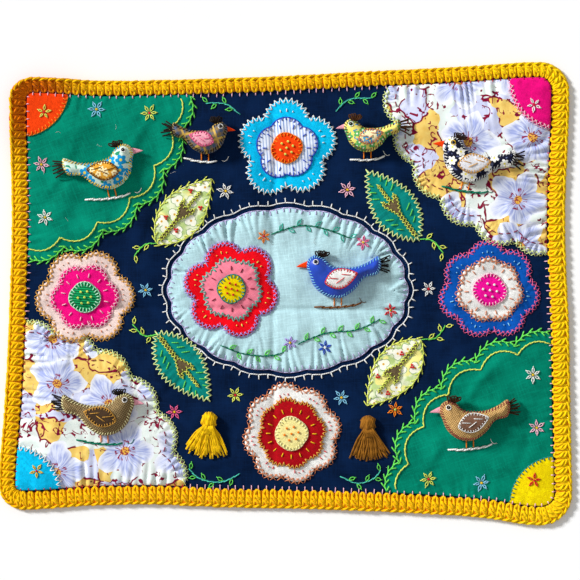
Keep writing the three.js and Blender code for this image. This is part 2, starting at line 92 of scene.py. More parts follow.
# Soft folds placed one by one: a ridge, or below 0 a trough, from one end to the other
SOFT_FOLDS = table(
    "x0 y0 x1 y1 wide high",
    (-9, 190, -9, 84, 3.4, -2.4), (-9, 110, -11, -190, 2.6, -1.5), (-250, -11, 250, -14, 2.2, -1.4),
    (-250, -52, -60, -49, 1.6, 0.8), (60, -96, 250, -92, 1.8, 0.8), (-36, 172, -39, 108, 7.0, -1.2),
    (-205, 128, -188, 96, 9.0, -1.6), (-215, 40, -120, 62, 5.0, 1.0), (118, 60, 150, -52, 6.0, 1.0),
    (-132, -44, -60, -20, 5.0, 1.0), (40, -72, 120, -58, 5.0, 1.1), (60, 158, 96, 92, 6.0, 1.0),
    (-206, 62, -172, 122, 5.0, -1.7), (-186, 146, -166, 170, 4.0, 1.3), (-132, 112, -104, 166, 4.5, 1.5),
    (194, -162, 218, -76, 5.0, -1.6), (104, -172, 134, -122, 5.0, 1.5), (150, -90, 186, -48, 4.5, 1.4),
    (-126, -112, -82, -64, 4.0, -1.3), (-112, -70, -64, -128, 4.0, 1.2), (-100, -150, -44, -138, 4.0, 1.1),
    (52, -140, 110, -152, 4.0, 1.1), (-124, 22, -104, 92, 4.0, -1.1), (-44, 100, -72, 62, 4.0, 1.0),
    (118, 30, 58, 92, 4.0, 0.9), (-40, 60, -14, 34, 3.0, 0.7), (34, 68, 52, 44, 3.0, 0.8),
    (70, -48, 52, -22, 3.0, 0.8), (-98, -12, -84, 30, 4.0, -0.6), (170, -160, 120, -84, 7.0, 1.5),
    (190, 60, 214, 128, 6.0, 1.1), (-206, -150, -190, -84, 6.0, 1.2),
)
UPRIGHT_FOLD = {"bottom": 0.45, "top": 1.0, "from": -158, "to": 162}
LEVEL_FOLD = {"middle": 0.45, "side": 0.9, "reach": 200}

# Thread and yarn colours, as red, green and blue digits
THREADS = {
    "lime": "6fe35c", "lemon": "e6f06a", "pale_lime": "e2f0a0", "lavender": "cfc4ee", "cream": "f6efb4",
    "mint": "b8f2cf", "white": "f6f6f2", "terracotta": "e08a5c", "orange": "ff8a1e", "pale_pink": "ffc3d6",
    "teal": "0c8a86", "royal": "2a50c8", "ochre": "e2a84a", "maroon": "8e1238", "green": "00785a",
    "sea": "4fc6b0", "scarlet": "e0202c", "lilac": "b79be6", "rose": "f46a9c", "brown": "7a4a22",
    "black": "16121a", "gold": "f8c81c", "sky": "8fd4f4", "cherry": "c8283c",
}

# How a kind of cloth lies: its thickness, the width of its rolled edge, how far it stands off what it
# lies on, how deep its edge puckers, at what pitch and how far in, and how deep its creases are.
CLOTH_KINDS = {row["kind"]: row for row in table(
    "kind thick roll loft pucker pitch reach crease",
    ("cotton", 0.9, 1.3, 0.6, 0.6, 9.0, 11.0, 0.9),
    ("thin", 0.8, 1.5, 1.8, 1.9, 7.6, 23.0, 1.3),
    ("felt", 1.15, 0.75, 0.5, 0.3, 8.6, 6.0, 0.2),
)}
# How the puckers of a sewn edge wander, where the level between them lies and how deep it is sewn down
PUCKER = {"drift": 1.2, "lean": 0.05, "level": 1.25, "sewn": 0.15}
# How a patch rises from its edge, how thick it is at the least, and how far it sinks into what is below
PATCH = {"rise": 4, "least": 0.22, "sink": 0.25, "step": 1.75, "thin_step": 1.5, "edge_step": 1.4}
# The ground cloth: its mesh, the softness between what is sewn on, its hem, its creases and its edge
GROUND = {"step": 2.8, "edge_step": 2.4, "soft": 0.7, "soft_reach": 7, "hem": 0.4, "crease": 1.2,
          "settle": 0.35, "edge": 0.6, "least": 0.7, "above": 0.02}
# Plain cottons, with how their threads are turned and how cloudy the dye is
COTTONS = table(
    "name kind code turn contrast",
    ("navy", "cotton", "051b3c", 0, 0.36), ("emerald", "cotton", "007c64", 20, 0.24),
    ("pale_blue", "thin", "aaccd2", 8, 0.1), ("teal", "cotton", "0a8078", 33, 0.16),
    ("royal", "cotton", "0a4ea4", 14, 0.16), ("salmon", "cotton", "ec7c90", 40, 0.16),
)
# Plain felts
FELTS = {
    "orange": "f4430c", "magenta": "f40c80", "yellow": "ffde02", "turquoise": "06c2f4", "blush": "f2dad2",
    "white": "eeeeea", "pink": "f8109c", "crimson": "b00c18", "cream": "f2e698", "red": "ff0a1c",
    "bark": "4a3828", "cocoa": "7a5846",
}

FAN_SIZE = {"radius": 138, "scallops": 6, "depth": 8, "echo": 9, "daisy": 28}
HANDLE_RADIUS = 40
FANS = table(
    "name x y opens cloth handle thread",
    ("fan_top_left", -222, 172, -90, "emerald", "orange", "lemon"),
    ("fan_top_right", 228, 178, 180, "floral", "magenta", "white"),
    ("fan_bottom_right", 228, -176, 90, "emerald", "yellow", "scarlet"),
    ("fan_bottom_left", -228, -168, 0, "floral", "turquoise", "gold"),
)

MEDALLION = {"x": 2, "y": 3, "half_width": 101, "half_height": 69, "scallops": 20, "depth": 0.03,
             "echo": 4.5}

HAND_CUT = 0.018
CENTRE_LOBES = 4
# Each layer of a flower has its radius, the depth of its lobes and its cloth
FLOWERS = table(
    "name x y turn rays seeds knots lobes petals inner centre",
    ("flower_top", 1, 122, 18, "white", "royal", "lemon", 5,
     (41, 0.26, "turquoise"), (26, 0.16, "striped"), (13, 0.08, "orange")),
    ("flower_left", -168, -3, 4, "terracotta", "pale_pink", "lemon", 6,
     (40, 0.2, "blush"), (28, 0.17, "magenta"), (13, 0.08, "corduroy")),
    ("flower_right", 171, 3, -9, "sky", "terracotta", "white", 7,
     (41, 0.18, "royal"), (27, 0.13, "white"), (14, 0.08, "pink")),
    ("flower_bottom", 5, -117, 11, "scarlet", "gold", "orange", 8,
     (41, 0.15, "white"), (29, 0.12, "crimson"), (14, 0.08, "cream")),
    ("flower_middle", -45, 4, -14, "lemon", "maroon", "scarlet", 6,
     (40, 0.24, "red"), (26, 0.16, "salmon"), (12, 0.08, "yellow")),
)

LEAF_SIZE = {"length": 72, "width": 37}
LEAVES = table(
    "name x y turn cloth",
    ("leaf_top_left", -85, 69, 50, "pale_green"), ("leaf_top_right", 90, 74, 127, "teal"),
    ("leaf_bottom_right", 91, -66, 231, "pale_green"), ("leaf_bottom_left", -86, -61, -52, "teal"),
)
BERRIES = [(-0.2, 0.2), (0.14, -0.26), (0.22, 0.16), (-0.24, -0.16)]
VEINS = (-0.3, -0.22, -0.14, 0.15, 0.23, 0.31)
RIB_OUTLINE = [(-0.44, 0.05), (-0.12, 0.045), (0.05, 0.2), (0.12, 0.16), (0.03, 0.04), (0.3, 0.03)]

# A stuffed bird seen from its side, facing +X
BIRD_OUTLINE = [
    (21.5, 9), (20, 14), (14.5, 17), (8.5, 14.5), (4, 9.5), (-5, 7.2), (-14, 7), (-22, 9.2), (-30, 12),
    (-31, 5.5), (-28, -0.5), (-19, -2.5), (-11, -10), (0, -15), (11, -12), (18, -4), (20, 3),
]
BIRD = {"seam_high": 3.6, "top": 13.2, "gap": 0.15, "step": 1.5, "wobble": 0.25, "pressed": 1.4}
BAG = {"high": 2.6, "reach": 9, "plain_high": 9.0, "plain_reach": 14}
WING = {"x": -2, "y": -1, "length": 24, "width": 14, "turn": 168, "thick": 1.0, "roll": 1.2,
        "pad": 0.9, "rise": 2.5, "gap": 0.15, "step": 1.3}
# The veins sewn on a wing: where each lies along it, how far it runs and how far out it ends
WING_VEINS = [(-0.1, 0.42, 2.6), (0.1, 0.3, -2.6), (-0.28, 0.3, -2.6)]
BEAK = {"base": 17, "tip": 28.5, "y": 10.5, "half_width": 3.2, "low": 1.5, "high": 5.2, "droop": 0.9,
        "crease": 0.35, "crease_width": 0.22}
EYE = {"x": 14.6, "y": 11.8, "radius": 1.35, "flat": 0.85, "stands": 0.35, "ring": 2.0}
# The crest's loops and the tail's strands of yarn: how many, their foot, the gap between two, their turn
# and how much it changes from one to the next and by chance, their reach, and the heights along one
PLUME_RADIUS = 0.62
CREST = {"count": 6, "x": 12.2, "y": 15.2, "gap": 0.7, "turn": 62, "fan": 17, "chance": 5,
         "reach": (4.2, 6.0), "high": (7.5, 9.2, 6.4, 8.0, 6.8), "lowered": 0.85}
TAIL = {"count": 7, "x": -27.5, "y": 5.8, "gap": 0.9, "turn": 158, "fan": 7.5, "chance": 4,
        "reach": (9, 13), "high": (5.8, 5.2, 1.4)}
BIRDS = table(
    "name x y turn size flip cloth wing thread wing_thread plume perch",
    ("bird_top_left", -150, 104, 8, 1.16, False,
     "blue_check", "mustard", "gold", "brown", "2a1c14", "white"),
    ("bird_top_middle_left", -68, 130, -5, 0.9, False,
     "plaid", "rose", "black", "rose", "1c1410", "white"),
    ("bird_top_middle_right", 69, 132, 6, 0.92, True,
     "butter", "ivory", "brown", "terracotta", "4a2c18", "white"),
    ("bird_top_right", 155, 110, -7, 1.18, True,
     "ink", "pearl", "white", "ochre", "2a1c18", "green"),
    ("bird_medallion", 44, 14, 5, 1.2, True,
     "cobalt", "white", "sky", "scarlet", "20140f", "brown"),
    ("bird_bottom_left", -152, -101, -4, 1.18, False,
     "burlap", "bark", "cream", "ochre", "1c1410", "green"),
    ("bird_bottom_right", 154, -106, 7, 1.14, True,
     "wheat", "cocoa", "maroon", "white", "34200f", "white"),
)
SIM_SCALE = 0.01
SIM_FRAMES = 20
SIM_CLOTH = {
    "quality": 6, "mass": 0.2, "tension_stiffness": 28, "compression_stiffness": 28, "shear_stiffness": 12,
    "bending_stiffness": 0.25, "use_pressure": True, "uniform_pressure_force": 4.5,
}

TASSEL = {"head": 6.5, "top": 7.4, "spread": 74, "reach": 31, "strands": 84, "radius": 0.7,
          "bow": 1.8, "aside": 3.2}
# The turns of yarn wound over a tassel's head and the tie below it
WINDING = {"turns": 15, "ties": 4, "tie_at": 7.4, "tie_gap": 1.05, "tie_half": 5.4, "tie_high": 5.2,
           "radius": 0.8}
TASSELS = table(
    "name x y turn yarn colour",
    ("tassel_left", -64, -106, -96, "yellow_yarn", "f6c40e"),
    ("tassel_right", 69, -109, -86, "brown_yarn", "94601c"),
)

# Stitched stems with leaves, each through a few points
SPRIGS = table(
    "on stem leaf through",
    ("medallion", "green", "lime", [(10, -42), (34, -33), (60, -30), (82, -20)]),
    ("medallion", "green", "sea", [(-12, 50), (12, 57), (34, 54), (58, 45)]),
    ("medallion", "green", "lime", [(-54, -43), (-36, -50), (-14, -52), (2, -48)]),
    ("navy", "lime", "lemon", [(-107, 42), (-118, 41), (-129, 29)]),
    ("navy", "lime", "lemon", [(-107, -34), (-119, -35), (-130, -23)]),
    ("navy", "lime", "lemon", [(112, 46), (124, 44), (134, 31)]),
    ("navy", "lime", "lemon", [(114, -38), (126, -37), (136, -24)]),
    ("navy", "sea", "lime", [(-38, -151), (-54, -158), (-72, -155), (-83, -144)]),
    ("navy", "sea", "lime", [(46, -153), (60, -159), (74, -155), (82, -145)]),
    ("navy", "sea", "lime", [(-38, 150), (-50, 159), (-70, 160)]),
    ("navy", "sea", "lime", [(42, 153), (54, 163), (76, 164)]),
)
DAISIES = table(
    "on x y petals heart reach",
    ("medallion", 65, 43, "rose", "gold", 5.5), ("medallion", 88, -14, "scarlet", "gold", 5.0),
    ("medallion", 4, -41, "lilac", "gold", 5.0), ("medallion", -18, 48, "orange", "scarlet", 5.0),
    ("medallion", 33, -45, "royal", "white", 5.0), ("navy", -50, 86, "white", "gold", 6.5),
    ("navy", 52, 87, "pale_pink", "gold", 6.5), ("navy", -42, -85, "lemon", "scarlet", 6.0),
    ("navy", 47, -87, "sky", "gold", 6.0), ("navy", -117, 3, "sky", "gold", 5.5),
    ("navy", 120, 4, "white", "scarlet", 5.5), ("navy", -93, -99, "rose", "gold", 6.0),
    ("navy", 92, -97, "orange", "lemon", 6.0),
)
# Daisies on a fan: how far round it and how far out from its point
FAN_DAISIES = table(
    "share radius petals heart",
    (0.12, 110, "white", "gold"), (0.88, 110, "lemon", "scarlet"),
    (0.17, 66, "pale_pink", "gold"), (0.83, 66, "sky", "gold"),
)
# The thread of the hem's legs on each cloth, and how far they reach in
HEM_LEGS = {"navy": ("pale_pink", 3.4), "emerald": ("pale_pink", 3.0), "floral": ("cherry", 2.4)}
PERCH = {"low": 22, "half": 21, "sag": 2.5, "for_size": 1.16}
# The three rays on each petal: to which side, and how far out they reach
RAYS = [(-1, 0.82), (0, 0.87), (1, 0.82)]
LINT = {"count": 26, "half_width": 214, "half_height": 162, "long": (2.5, 7.0), "radius": 0.09}
# How each cloth's edge is sewn down: the stitch, its thread, its width, its pitch and the thread's radius
TRIMS = {row["cloth"]: row for row in table(
    "cloth stitch thread wide every radius",
    ("emerald", "feather", "lime", 6.4, 3.5, 0.6), ("floral", "herringbone", "pale_lime", 4.6, 4.2, 0.4),
    ("pale_blue", "blanket", "lavender", 4.0, 5.6, 0.42), ("teal", "zigzag", "pale_lime", 4.6, 4.4, 0.44),
    ("pale_green", "feather", "lemon", 5.4, 3.6, 0.44), ("olive", "zigzag", "lemon", 2.0, 3.2, 0.34),
    ("orange", "blanket", "orange", 3.2, 3.6, 0.45), ("magenta", "herringbone", "pale_pink", 5.0, 4.4, 0.34),
    ("yellow", "blanket", "teal", 3.0, 3.8, 0.45), ("turquoise", "zigzag", "white", 5.0, 4.6, 0.42),
    ("striped", "blanket", "royal", 3.0, 4.2, 0.45), ("blush", "herringbone", "ochre", 5.2, 4.8, 0.4),
    ("corduroy", "blanket", "mint", 3.6, 3.2, 0.45), ("royal", "herringbone", "rose", 4.8, 4.4, 0.34),
    ("white", "herringbone", "terracotta", 5.4, 5.0, 0.38), ("pink", "blanket", "pale_pink", 3.0, 3.4, 0.45),
    ("crimson", "zigzag", "ochre", 3.6, 3.8, 0.42), ("cream", "blanket", "cream", 2.8, 3.2, 0.45),
    ("red", "herringbone", "lilac", 5.0, 4.0, 0.34), ("salmon", "zigzag", "sea", 4.2, 4.2, 0.38),
)}

# The strands of one crochet stitch. Each row is how far round in stitches, how far out as a share of the
# border's width, and how high.
HALF_LOOP = [
    (-0.37, 0.9, 2.0), (-0.33, 0.66, 3.0), (-0.28, 0.34, 3.3), (-0.25, 0.14, 3.1), (-0.11, 0.01, 2.5),
]
LOOP_STRAND = [*HALF_LOOP, *((-at, out, high) for at, out, high in reversed(HALF_LOOP))]
HIGH_SLANT = [(-0.3, 0.22, 2.4), (-0.17, 0.31, 3.8), (0.05, 0.43, 4.1), (0.24, 0.55, 3.7), (0.35, 0.63, 2.6)]
LOW_SLANT = [(-0.36, 0.46, 2.6), (-0.2, 0.56, 3.6), (0.04, 0.68, 3.8), (0.25, 0.77, 3.4), (0.4, 0.84, 2.6)]
CHAIN_FRONT = [
    (-0.56, 1.0, 2.4), (-0.4, 0.985, 3.1), (-0.1, 0.95, 3.7), (0.2, 0.905, 3.7), (0.42, 0.86, 3.1),
    (0.52, 0.82, 2.3),
]
CHAIN_BACK = [(-0.58, 0.945, 1.7), (-0.3, 0.97, 2.1), (0.0, 0.985, 2.3), (0.3, 0.97, 2.1), (0.58, 0.945, 1.7)]
# A stitch's pitch, the border's width and one millimetre of height, for curves in true proportion
STRAND_SCALE = (STITCH_PITCH, 12.5, 1.0)
# How much the stitches vary
UNEVEN = {"round": 0.022, "wide": 0.07, "out": 0.012, "high": 0.16}
CORE_PROFILE = [
    (0.05, 0.15), (0.02, 1.3), (0.1, 2.6), (0.35, 3.1), (0.7, 3.0), (0.93, 2.7), (0.975, 1.4), (0.94, 0.15),
]
# The core's fineness, its wave, and the shade that darkens its colour as painted shade between the posts
CORE = {"fineness": 4, "wave": 0.35, "shade": (0.8, 0.5, 0.2)}
CURL = {"x": -216, "y": 166, "full": 22, "gone": 66, "rise": 8.0, "from": 0.25}
# The yarn's colour, its colour on the left darkened as painted shade, and its colour in the hollow of the
# curled corner, which is painted shade
YARN_COLOURS = ("ffd00a", "ffc006", "e27600")

# Where each set of random draws starts
SEEDS = {
    "creases": 71, "patches": 300, "bags": 200, "edges": 20, "hem": 5, "perches": 6, "navy": 7,
    "medallion": 8, "fans": 9, "flowers": 10, "leaves": 11, "lint": 12, "birds": 500, "tassels": 600,
}


# Small sums

def unit(vectors):
    """Vectors made one long."""
    return vectors / np.maximum(np.linalg.norm(vectors, axis=-1, keepdims=True), 1e-9)


def smooth_step(value, low=0.0, high=1.0):
    """0 below low, 1 above high, and a soft rise between."""
    share = np.clip((value - low) / (high - low), 0, 1)
    return share * share * (3 - 2 * share)


def placed(points, x=0.0, y=0.0, turn=0.0, size=1.0, flip=False):
    """The points of a small drawing: flipped, enlarged, turned and moved."""
    points = np.asarray(points, float) * size
    if flip:
        points = points * (-1, 1)
    cos, sin = math.cos(math.radians(turn)), math.sin(math.radians(turn))
    return points @ np.array([(cos, sin), (-sin, cos)]) + (x, y)


def ring_of(points):
    """The points of a loop, the first one again at the end."""
    return np.vstack([points, points[:1]])


def even_points(line, count):
    """Points that part a line into equal lengths, both ends among them."""
    steps = np.linalg.norm(np.diff(line, axis=0), axis=1)
    reached = np.concatenate([[0], np.cumsum(steps)])
    wanted = np.linspace(0, reached[-1], count)
    return np.column_stack([np.interp(wanted, reached, column) for column in line.T])


def even_loop(points, count):
    """The same for a closed loop."""
    return even_points(ring_of(points), count + 1)[:-1]


def loop_by_step(points, step):
    """A closed loop with a point for each step of its length."""
    length = np.linalg.norm(np.diff(ring_of(points), axis=0), axis=1).sum()
    return even_loop(points, max(12, round(length / step)))


def smooth_loop(points, count, given=None):
    """A smooth closed curve through the points. given has the slope at some of them, by number."""
    points = np.asarray(points, float)
    after = np.roll(points, -1, axis=0)
    lengths = np.linalg.norm(after - points, axis=1)[:, None]
    out = (after - points) / lengths
    before = np.roll(lengths, 1, axis=0)
    slopes = (np.roll(out, 1, axis=0) * lengths + out * before) / (lengths + before)
    for number, slope in (given or {}).items():
        slopes[number] = slope
    t = np.linspace(0, 1, 40, endpoint=False)[None, :, None]
    fine = points[:, None] * (1 + 2 * t) * (1 - t) ** 2
    fine = fine + (slopes * lengths)[:, None] * t * (1 - t) ** 2
    fine = fine + after[:, None] * t * t * (3 - 2 * t)
    fine = fine + (np.roll(slopes, -1, axis=0) * lengths)[:, None] * t * t * (t - 1)
    return even_loop(fine.reshape(-1, 2), count)


def outward_of(loop):
    """For each point of an anticlockwise loop, the direction out of it."""
    along = unit(np.roll(loop, -1, axis=0) - np.roll(loop, 1, axis=0))
    return np.column_stack([along[:, 1], -along[:, 0]])


def soft_noise(x, y, size, seed, waves=14):
    """A smooth uneven field from -1 to 1, whose bumps are about size wide."""
    draw = np.random.default_rng(seed)
    total = np.zeros_like(x)
    for _ in range(waves):
        angle = draw.uniform(0, 2 * math.pi)
        pitch = size * draw.uniform(1.3, 2.9)
        phase = draw.uniform(0, 2 * math.pi)
        total += np.sin((x * math.cos(angle) + y * math.sin(angle)) * 2 * math.pi / pitch + phase)
    return np.clip(total / math.sqrt(waves), -2, 2) / 2


# The border's edge and the cloth's outline

def outer_loop(count):
    """The outer edge of the border, with its corners rounded."""
    points, given = [], {}
    for x, y, radius in OUTER_EDGE:
        if not radius:
            points.append((x, y))
            continue
        right, top = math.copysign(1, x), math.copysign(1, y)
        first = math.atan2(0, right) if right == top else math.atan2(top, 0)
        for k in range(CORNER_STEPS + 1):
            angle = first + k / CORNER_STEPS * math.pi / 2
            given[len(points)] = (-math.sin(angle), math.cos(angle))
            points.append((x - right * radius + radius * math.cos(angle),
                           y - top * radius + radius * math.sin(angle)))
    return smooth_loop(points, count, given)


edge_loop = outer_loop(STITCH_COUNT * EDGE_FINENESS)
edge_out = outward_of(edge_loop)


def width_at(out):
    """How wide the border is where its outer edge faces this way."""
    sideways = np.where(out[..., 0] > 0, BORDER_WIDTH["right"], BORDER_WIDTH["left"])
    upright = np.where(out[..., 1] > 0, BORDER_WIDTH["top"], BORDER_WIDTH["bottom"])
    return sideways * out[..., 0] ** 2 + upright * out[..., 1] ** 2


def field_outline(inset):
    """The border's inner edge, moved in by inset."""
    return edge_loop - edge_out * (width_at(edge_out) + inset)[:, None]


def on_border(stitch, across):
    """Points of the border: how many stitches round it, and how far out as a share of its width."""
    at = np.asarray(stitch) * EDGE_FINENESS % len(edge_loop)
    marks = np.arange(len(edge_loop) + 1)
    spot = np.stack([np.interp(at, marks, column) for column in ring_of(edge_loop).T], axis=-1)
    out = unit(np.stack([np.interp(at, marks, column) for column in ring_of(edge_out).T], axis=-1))
    return spot - out * (width_at(out) * (1 - np.asarray(across)))[..., None]


# The lie of the cloth

def soft_row(rows, at, column, spread):
    """A column of FOLD_X or FOLD_Y between its rows, with its corners softened."""
    marks = [row[0] for row in rows]
    values = [row[column] for row in rows]
    offsets = np.linspace(-spread, spread, 5)
    return sum(np.interp(at + offset, marks, values) for offset in offsets) / len(offsets)


def swell(x, y):
    """How high the cloth lies above the surface."""
    up = np.clip((y - UPRIGHT_FOLD["from"]) / (UPRIGHT_FOLD["to"] - UPRIGHT_FOLD["from"]), 0, 1)
    out = np.clip(np.abs(x) / LEVEL_FOLD["reach"], 0, 1)
    upright = soft_row(FOLD_X, x, 2, 1.5) * (UPRIGHT_FOLD["bottom"] * (1 - up) + UPRIGHT_FOLD["top"] * up)
    level = soft_row(FOLD_Y, y, 2, 1.5) * (LEVEL_FOLD["middle"] * (1 - out) + LEVEL_FOLD["side"] * out)
    rise = soft_row(FOLD_X, x, 1, 8) * soft_row(FOLD_Y, y, 1, 8)
    return PUFF * rise * (1 - upright) * (1 - level)


def soft_folds(x, y):
    """The folds placed by hand."""
    total = np.zeros_like(x)
    for fold in SOFT_FOLDS:
        x0, y0, x1, y1 = (fold[key] for key in ("x0", "y0", "x1", "y1"))
        length = math.hypot(x1 - x0, y1 - y0)
        along = ((x - x0) * (x1 - x0) + (y - y0) * (y1 - y0)) / length ** 2
        bend = 0.35 * fold["wide"] * np.sin(along * 5 + x0)
        across = ((x - x0) * (y1 - y0) - (y - y0) * (x1 - x0)) / length + bend
        fade = smooth_step(along, -0.15, 0.25) * smooth_step(-along, -1.15, -0.75)
        total += fold["high"] * fade * np.exp(-(across / fold["wide"]) ** 2)
    return total


def lie_of(x, y):
    """How high the cloth's underside lies, with its folds and its broad soft waves."""
    inside = np.clip(soft_row(FOLD_X, x, 1, 8) * soft_row(FOLD_Y, y, 1, 8), 0, 1)
    return swell(x, y) + inside * (RUMPLE * soft_noise(x, y, 19, SEEDS["creases"]) + soft_folds(x, y))


def lie_at(thing):
    """The same at the place of one bird or tassel."""
    return float(lie_of(np.array([thing["x"]], float), np.array([thing["y"]], float))[0])


def creases(x, y, seed):
    """Soft ridges and hollows of handled cloth, from -1 to 1."""
    broad = soft_noise(x, y, 26, seed)
    ridge = 1 - np.abs(soft_noise(x, y, 34, seed + 1)) * 2.2
    fine = soft_noise(x, y, 8, seed + 2)
    return 0.55 * broad + 0.5 * np.clip(ridge, 0, 1) ** 3 + 0.16 * fine - 0.1


# Meshes

def mesh_object(name, points, faces, uv=None, tint=None):
    """An object from points in millimetres and arrays of faces, each array with one count of corners."""
    mesh = bpy.data.meshes.new(name)
    points = np.asarray(points, float) * MM
    corners = np.concatenate([part.ravel() for part in faces]).astype(np.int32)
    sizes = np.concatenate([np.full(len(part), part.shape[1]) for part in faces])
    starts = np.concatenate([[0], np.cumsum(sizes)[:-1]]).astype(np.int32)
    mesh.vertices.add(len(points))
    mesh.vertices.foreach_set("co", points.ravel())
    mesh.loops.add(len(corners))
    mesh.loops.foreach_set("vertex_index", corners)
    mesh.polygons.add(len(sizes))
    mesh.polygons.foreach_set("loop_start", starts)
    mesh.polygons.foreach_set("use_smooth", np.ones(len(sizes), bool))
    mesh.update(calc_edges=True)
    if uv is not None:
        layer = mesh.uv_layers.new(name="along")
        layer.data.foreach_set("uv", np.asarray(uv, float).ravel())
    if tint is not None:
        layer = mesh.color_attributes.new(name="tint", type="FLOAT_COLOR", domain="POINT")
        rgba = np.column_stack([tint, np.ones(len(tint))])
        layer.data.foreach_set("color", rgba.ravel())
    mesh.validate()
    piece = bpy.data.objects.new(name, mesh)
    bpy.context.scene.collection.objects.link(piece)
    return piece


def dress(piece, material, node=None):
    """Gives a piece its material, and lets it stand for a node of the frame."""
    piece.data.materials.append(material)
    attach(piece, "root")
    if node:
        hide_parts(node)


def tube_frames(paths):
    """For each point of each path, the directions across it."""
    tangent = unit(np.gradient(paths, axis=1))
    side = np.empty_like(tangent)
    side[:, 0] = unit(np.cross(tangent[:, 0], (0.013, 0.021, 1.0)))
    for k in range(1, paths.shape[1]):
        last = side[:, k - 1]
        off = np.sum(last * tangent[:, k], axis=1, keepdims=True)
        side[:, k] = unit(last - off * tangent[:, k])
    return side, np.cross(tangent, side)


def tubes(paths, radii, sides):
    """Round closed tubes along paths (tube, step, xyz): points, faces, and a uv for each face corner."""
    paths = np.asarray(paths, float)
    count, steps, _ = paths.shape
    radii = np.broadcast_to(np.asarray(radii, float), (count, steps))
    side, other = tube_frames(paths)
    turn = np.arange(sides) / sides * 2 * math.pi
    ring = side[:, :, None] * np.cos(turn)[:, None] + other[:, :, None] * np.sin(turn)[:, None]
    points = paths[:, :, None] + ring * radii[:, :, None, None]

    number = np.arange(count * steps * sides).reshape(count, steps, sides)
    after = np.roll(number, -1, axis=2)
    quads = np.stack([number[:, :-1], after[:, :-1], after[:, 1:], number[:, 1:]], axis=-1)
    fan = np.array([(0, k + 1, k) for k in range(1, sides - 1)])
    start_cap = number[:, 0][:, fan]
    end_cap = number[:, -1][:, fan[:, ::-1]]

    length = np.cumsum(np.linalg.norm(np.diff(paths, axis=1, prepend=paths[:, :1]), axis=2), axis=1)
    around = np.arange(sides) / sides
    corner_around = np.stack([around, around + 1 / sides, around + 1 / sides, around], axis=-1)
    corner_along = np.stack([length[:, :-1], length[:, :-1], length[:, 1:], length[:, 1:]], axis=-1)
    quad_uv = np.empty((count, steps - 1, sides, 4, 2))
    quad_uv[..., 0] = corner_around[None, None]
    quad_uv[..., 1] = corner_along[:, :, None]
    cap_count = start_cap.size + end_cap.size
    uv = np.vstack([quad_uv.reshape(-1, 2), np.zeros((cap_count, 2))])
    faces = [quads.reshape(-1, 4), start_cap.reshape(-1, 3), end_cap.reshape(-1, 3)]
    return points.reshape(-1, 3), faces, uv


def gather_tubes(groups, sides):
    """Several groups of tubes as one set of points, faces, uv and colours."""
    points, quads, tris, quad_uv, tri_uv, tint, total = [], [], [], [], [], [], 0
    for paths, radii, colours in groups:
        made, faces, uv = tubes(paths, radii, sides)
        quads.append(faces[0] + total)
        tris.extend(part + total for part in faces[1:])
        quad_uv.append(uv[:faces[0].size])
        tri_uv.append(uv[faces[0].size:])
        tint.append(np.repeat(colours, paths.shape[1] * sides, axis=0))
        points.append(made)
        total += len(made)
    return (np.vstack(points), [np.vstack(quads), np.vstack(tris)], np.vstack([*quad_uv, *tri_uv]),
            np.vstack(tint))


def curve_through(controls, count):
    """A smooth open line through a few points, as count even points."""
    controls = np.asarray(controls, float)
    padded = np.vstack([2 * controls[0] - controls[1], controls, 2 * controls[-1] - controls[-2]])
    t = np.linspace(0, 1, 12, endpoint=False)[:, None]
    pieces = []
    for p0, p1, p2, p3 in zip(padded, padded[1:], padded[2:], padded[3:]):
        pieces.append(0.5 * (2 * p1 + (p2 - p0) * t + (2 * p0 - 5 * p1 + 4 * p2 - p3) * t ** 2
                             + (3 * p1 - p0 - 3 * p2 + p3) * t ** 3))
    return even_points(np.vstack([*pieces, controls[-1:]]), count)


def rgb(code):
    """A colour written as six hexadecimal digits, in linear light."""
    shares = [int(code[k:k + 2], 16) / 255 for k in (0, 2, 4)]
    return tuple(s / 12.92 if s <= 0.04045 else ((s + 0.055) / 1.055) ** 2.4 for s in shares)


def scaled(colour, factor):
    """A colour made darker or lighter."""
    return tuple(min(1.0, part * factor) for part in colour)


# Materials

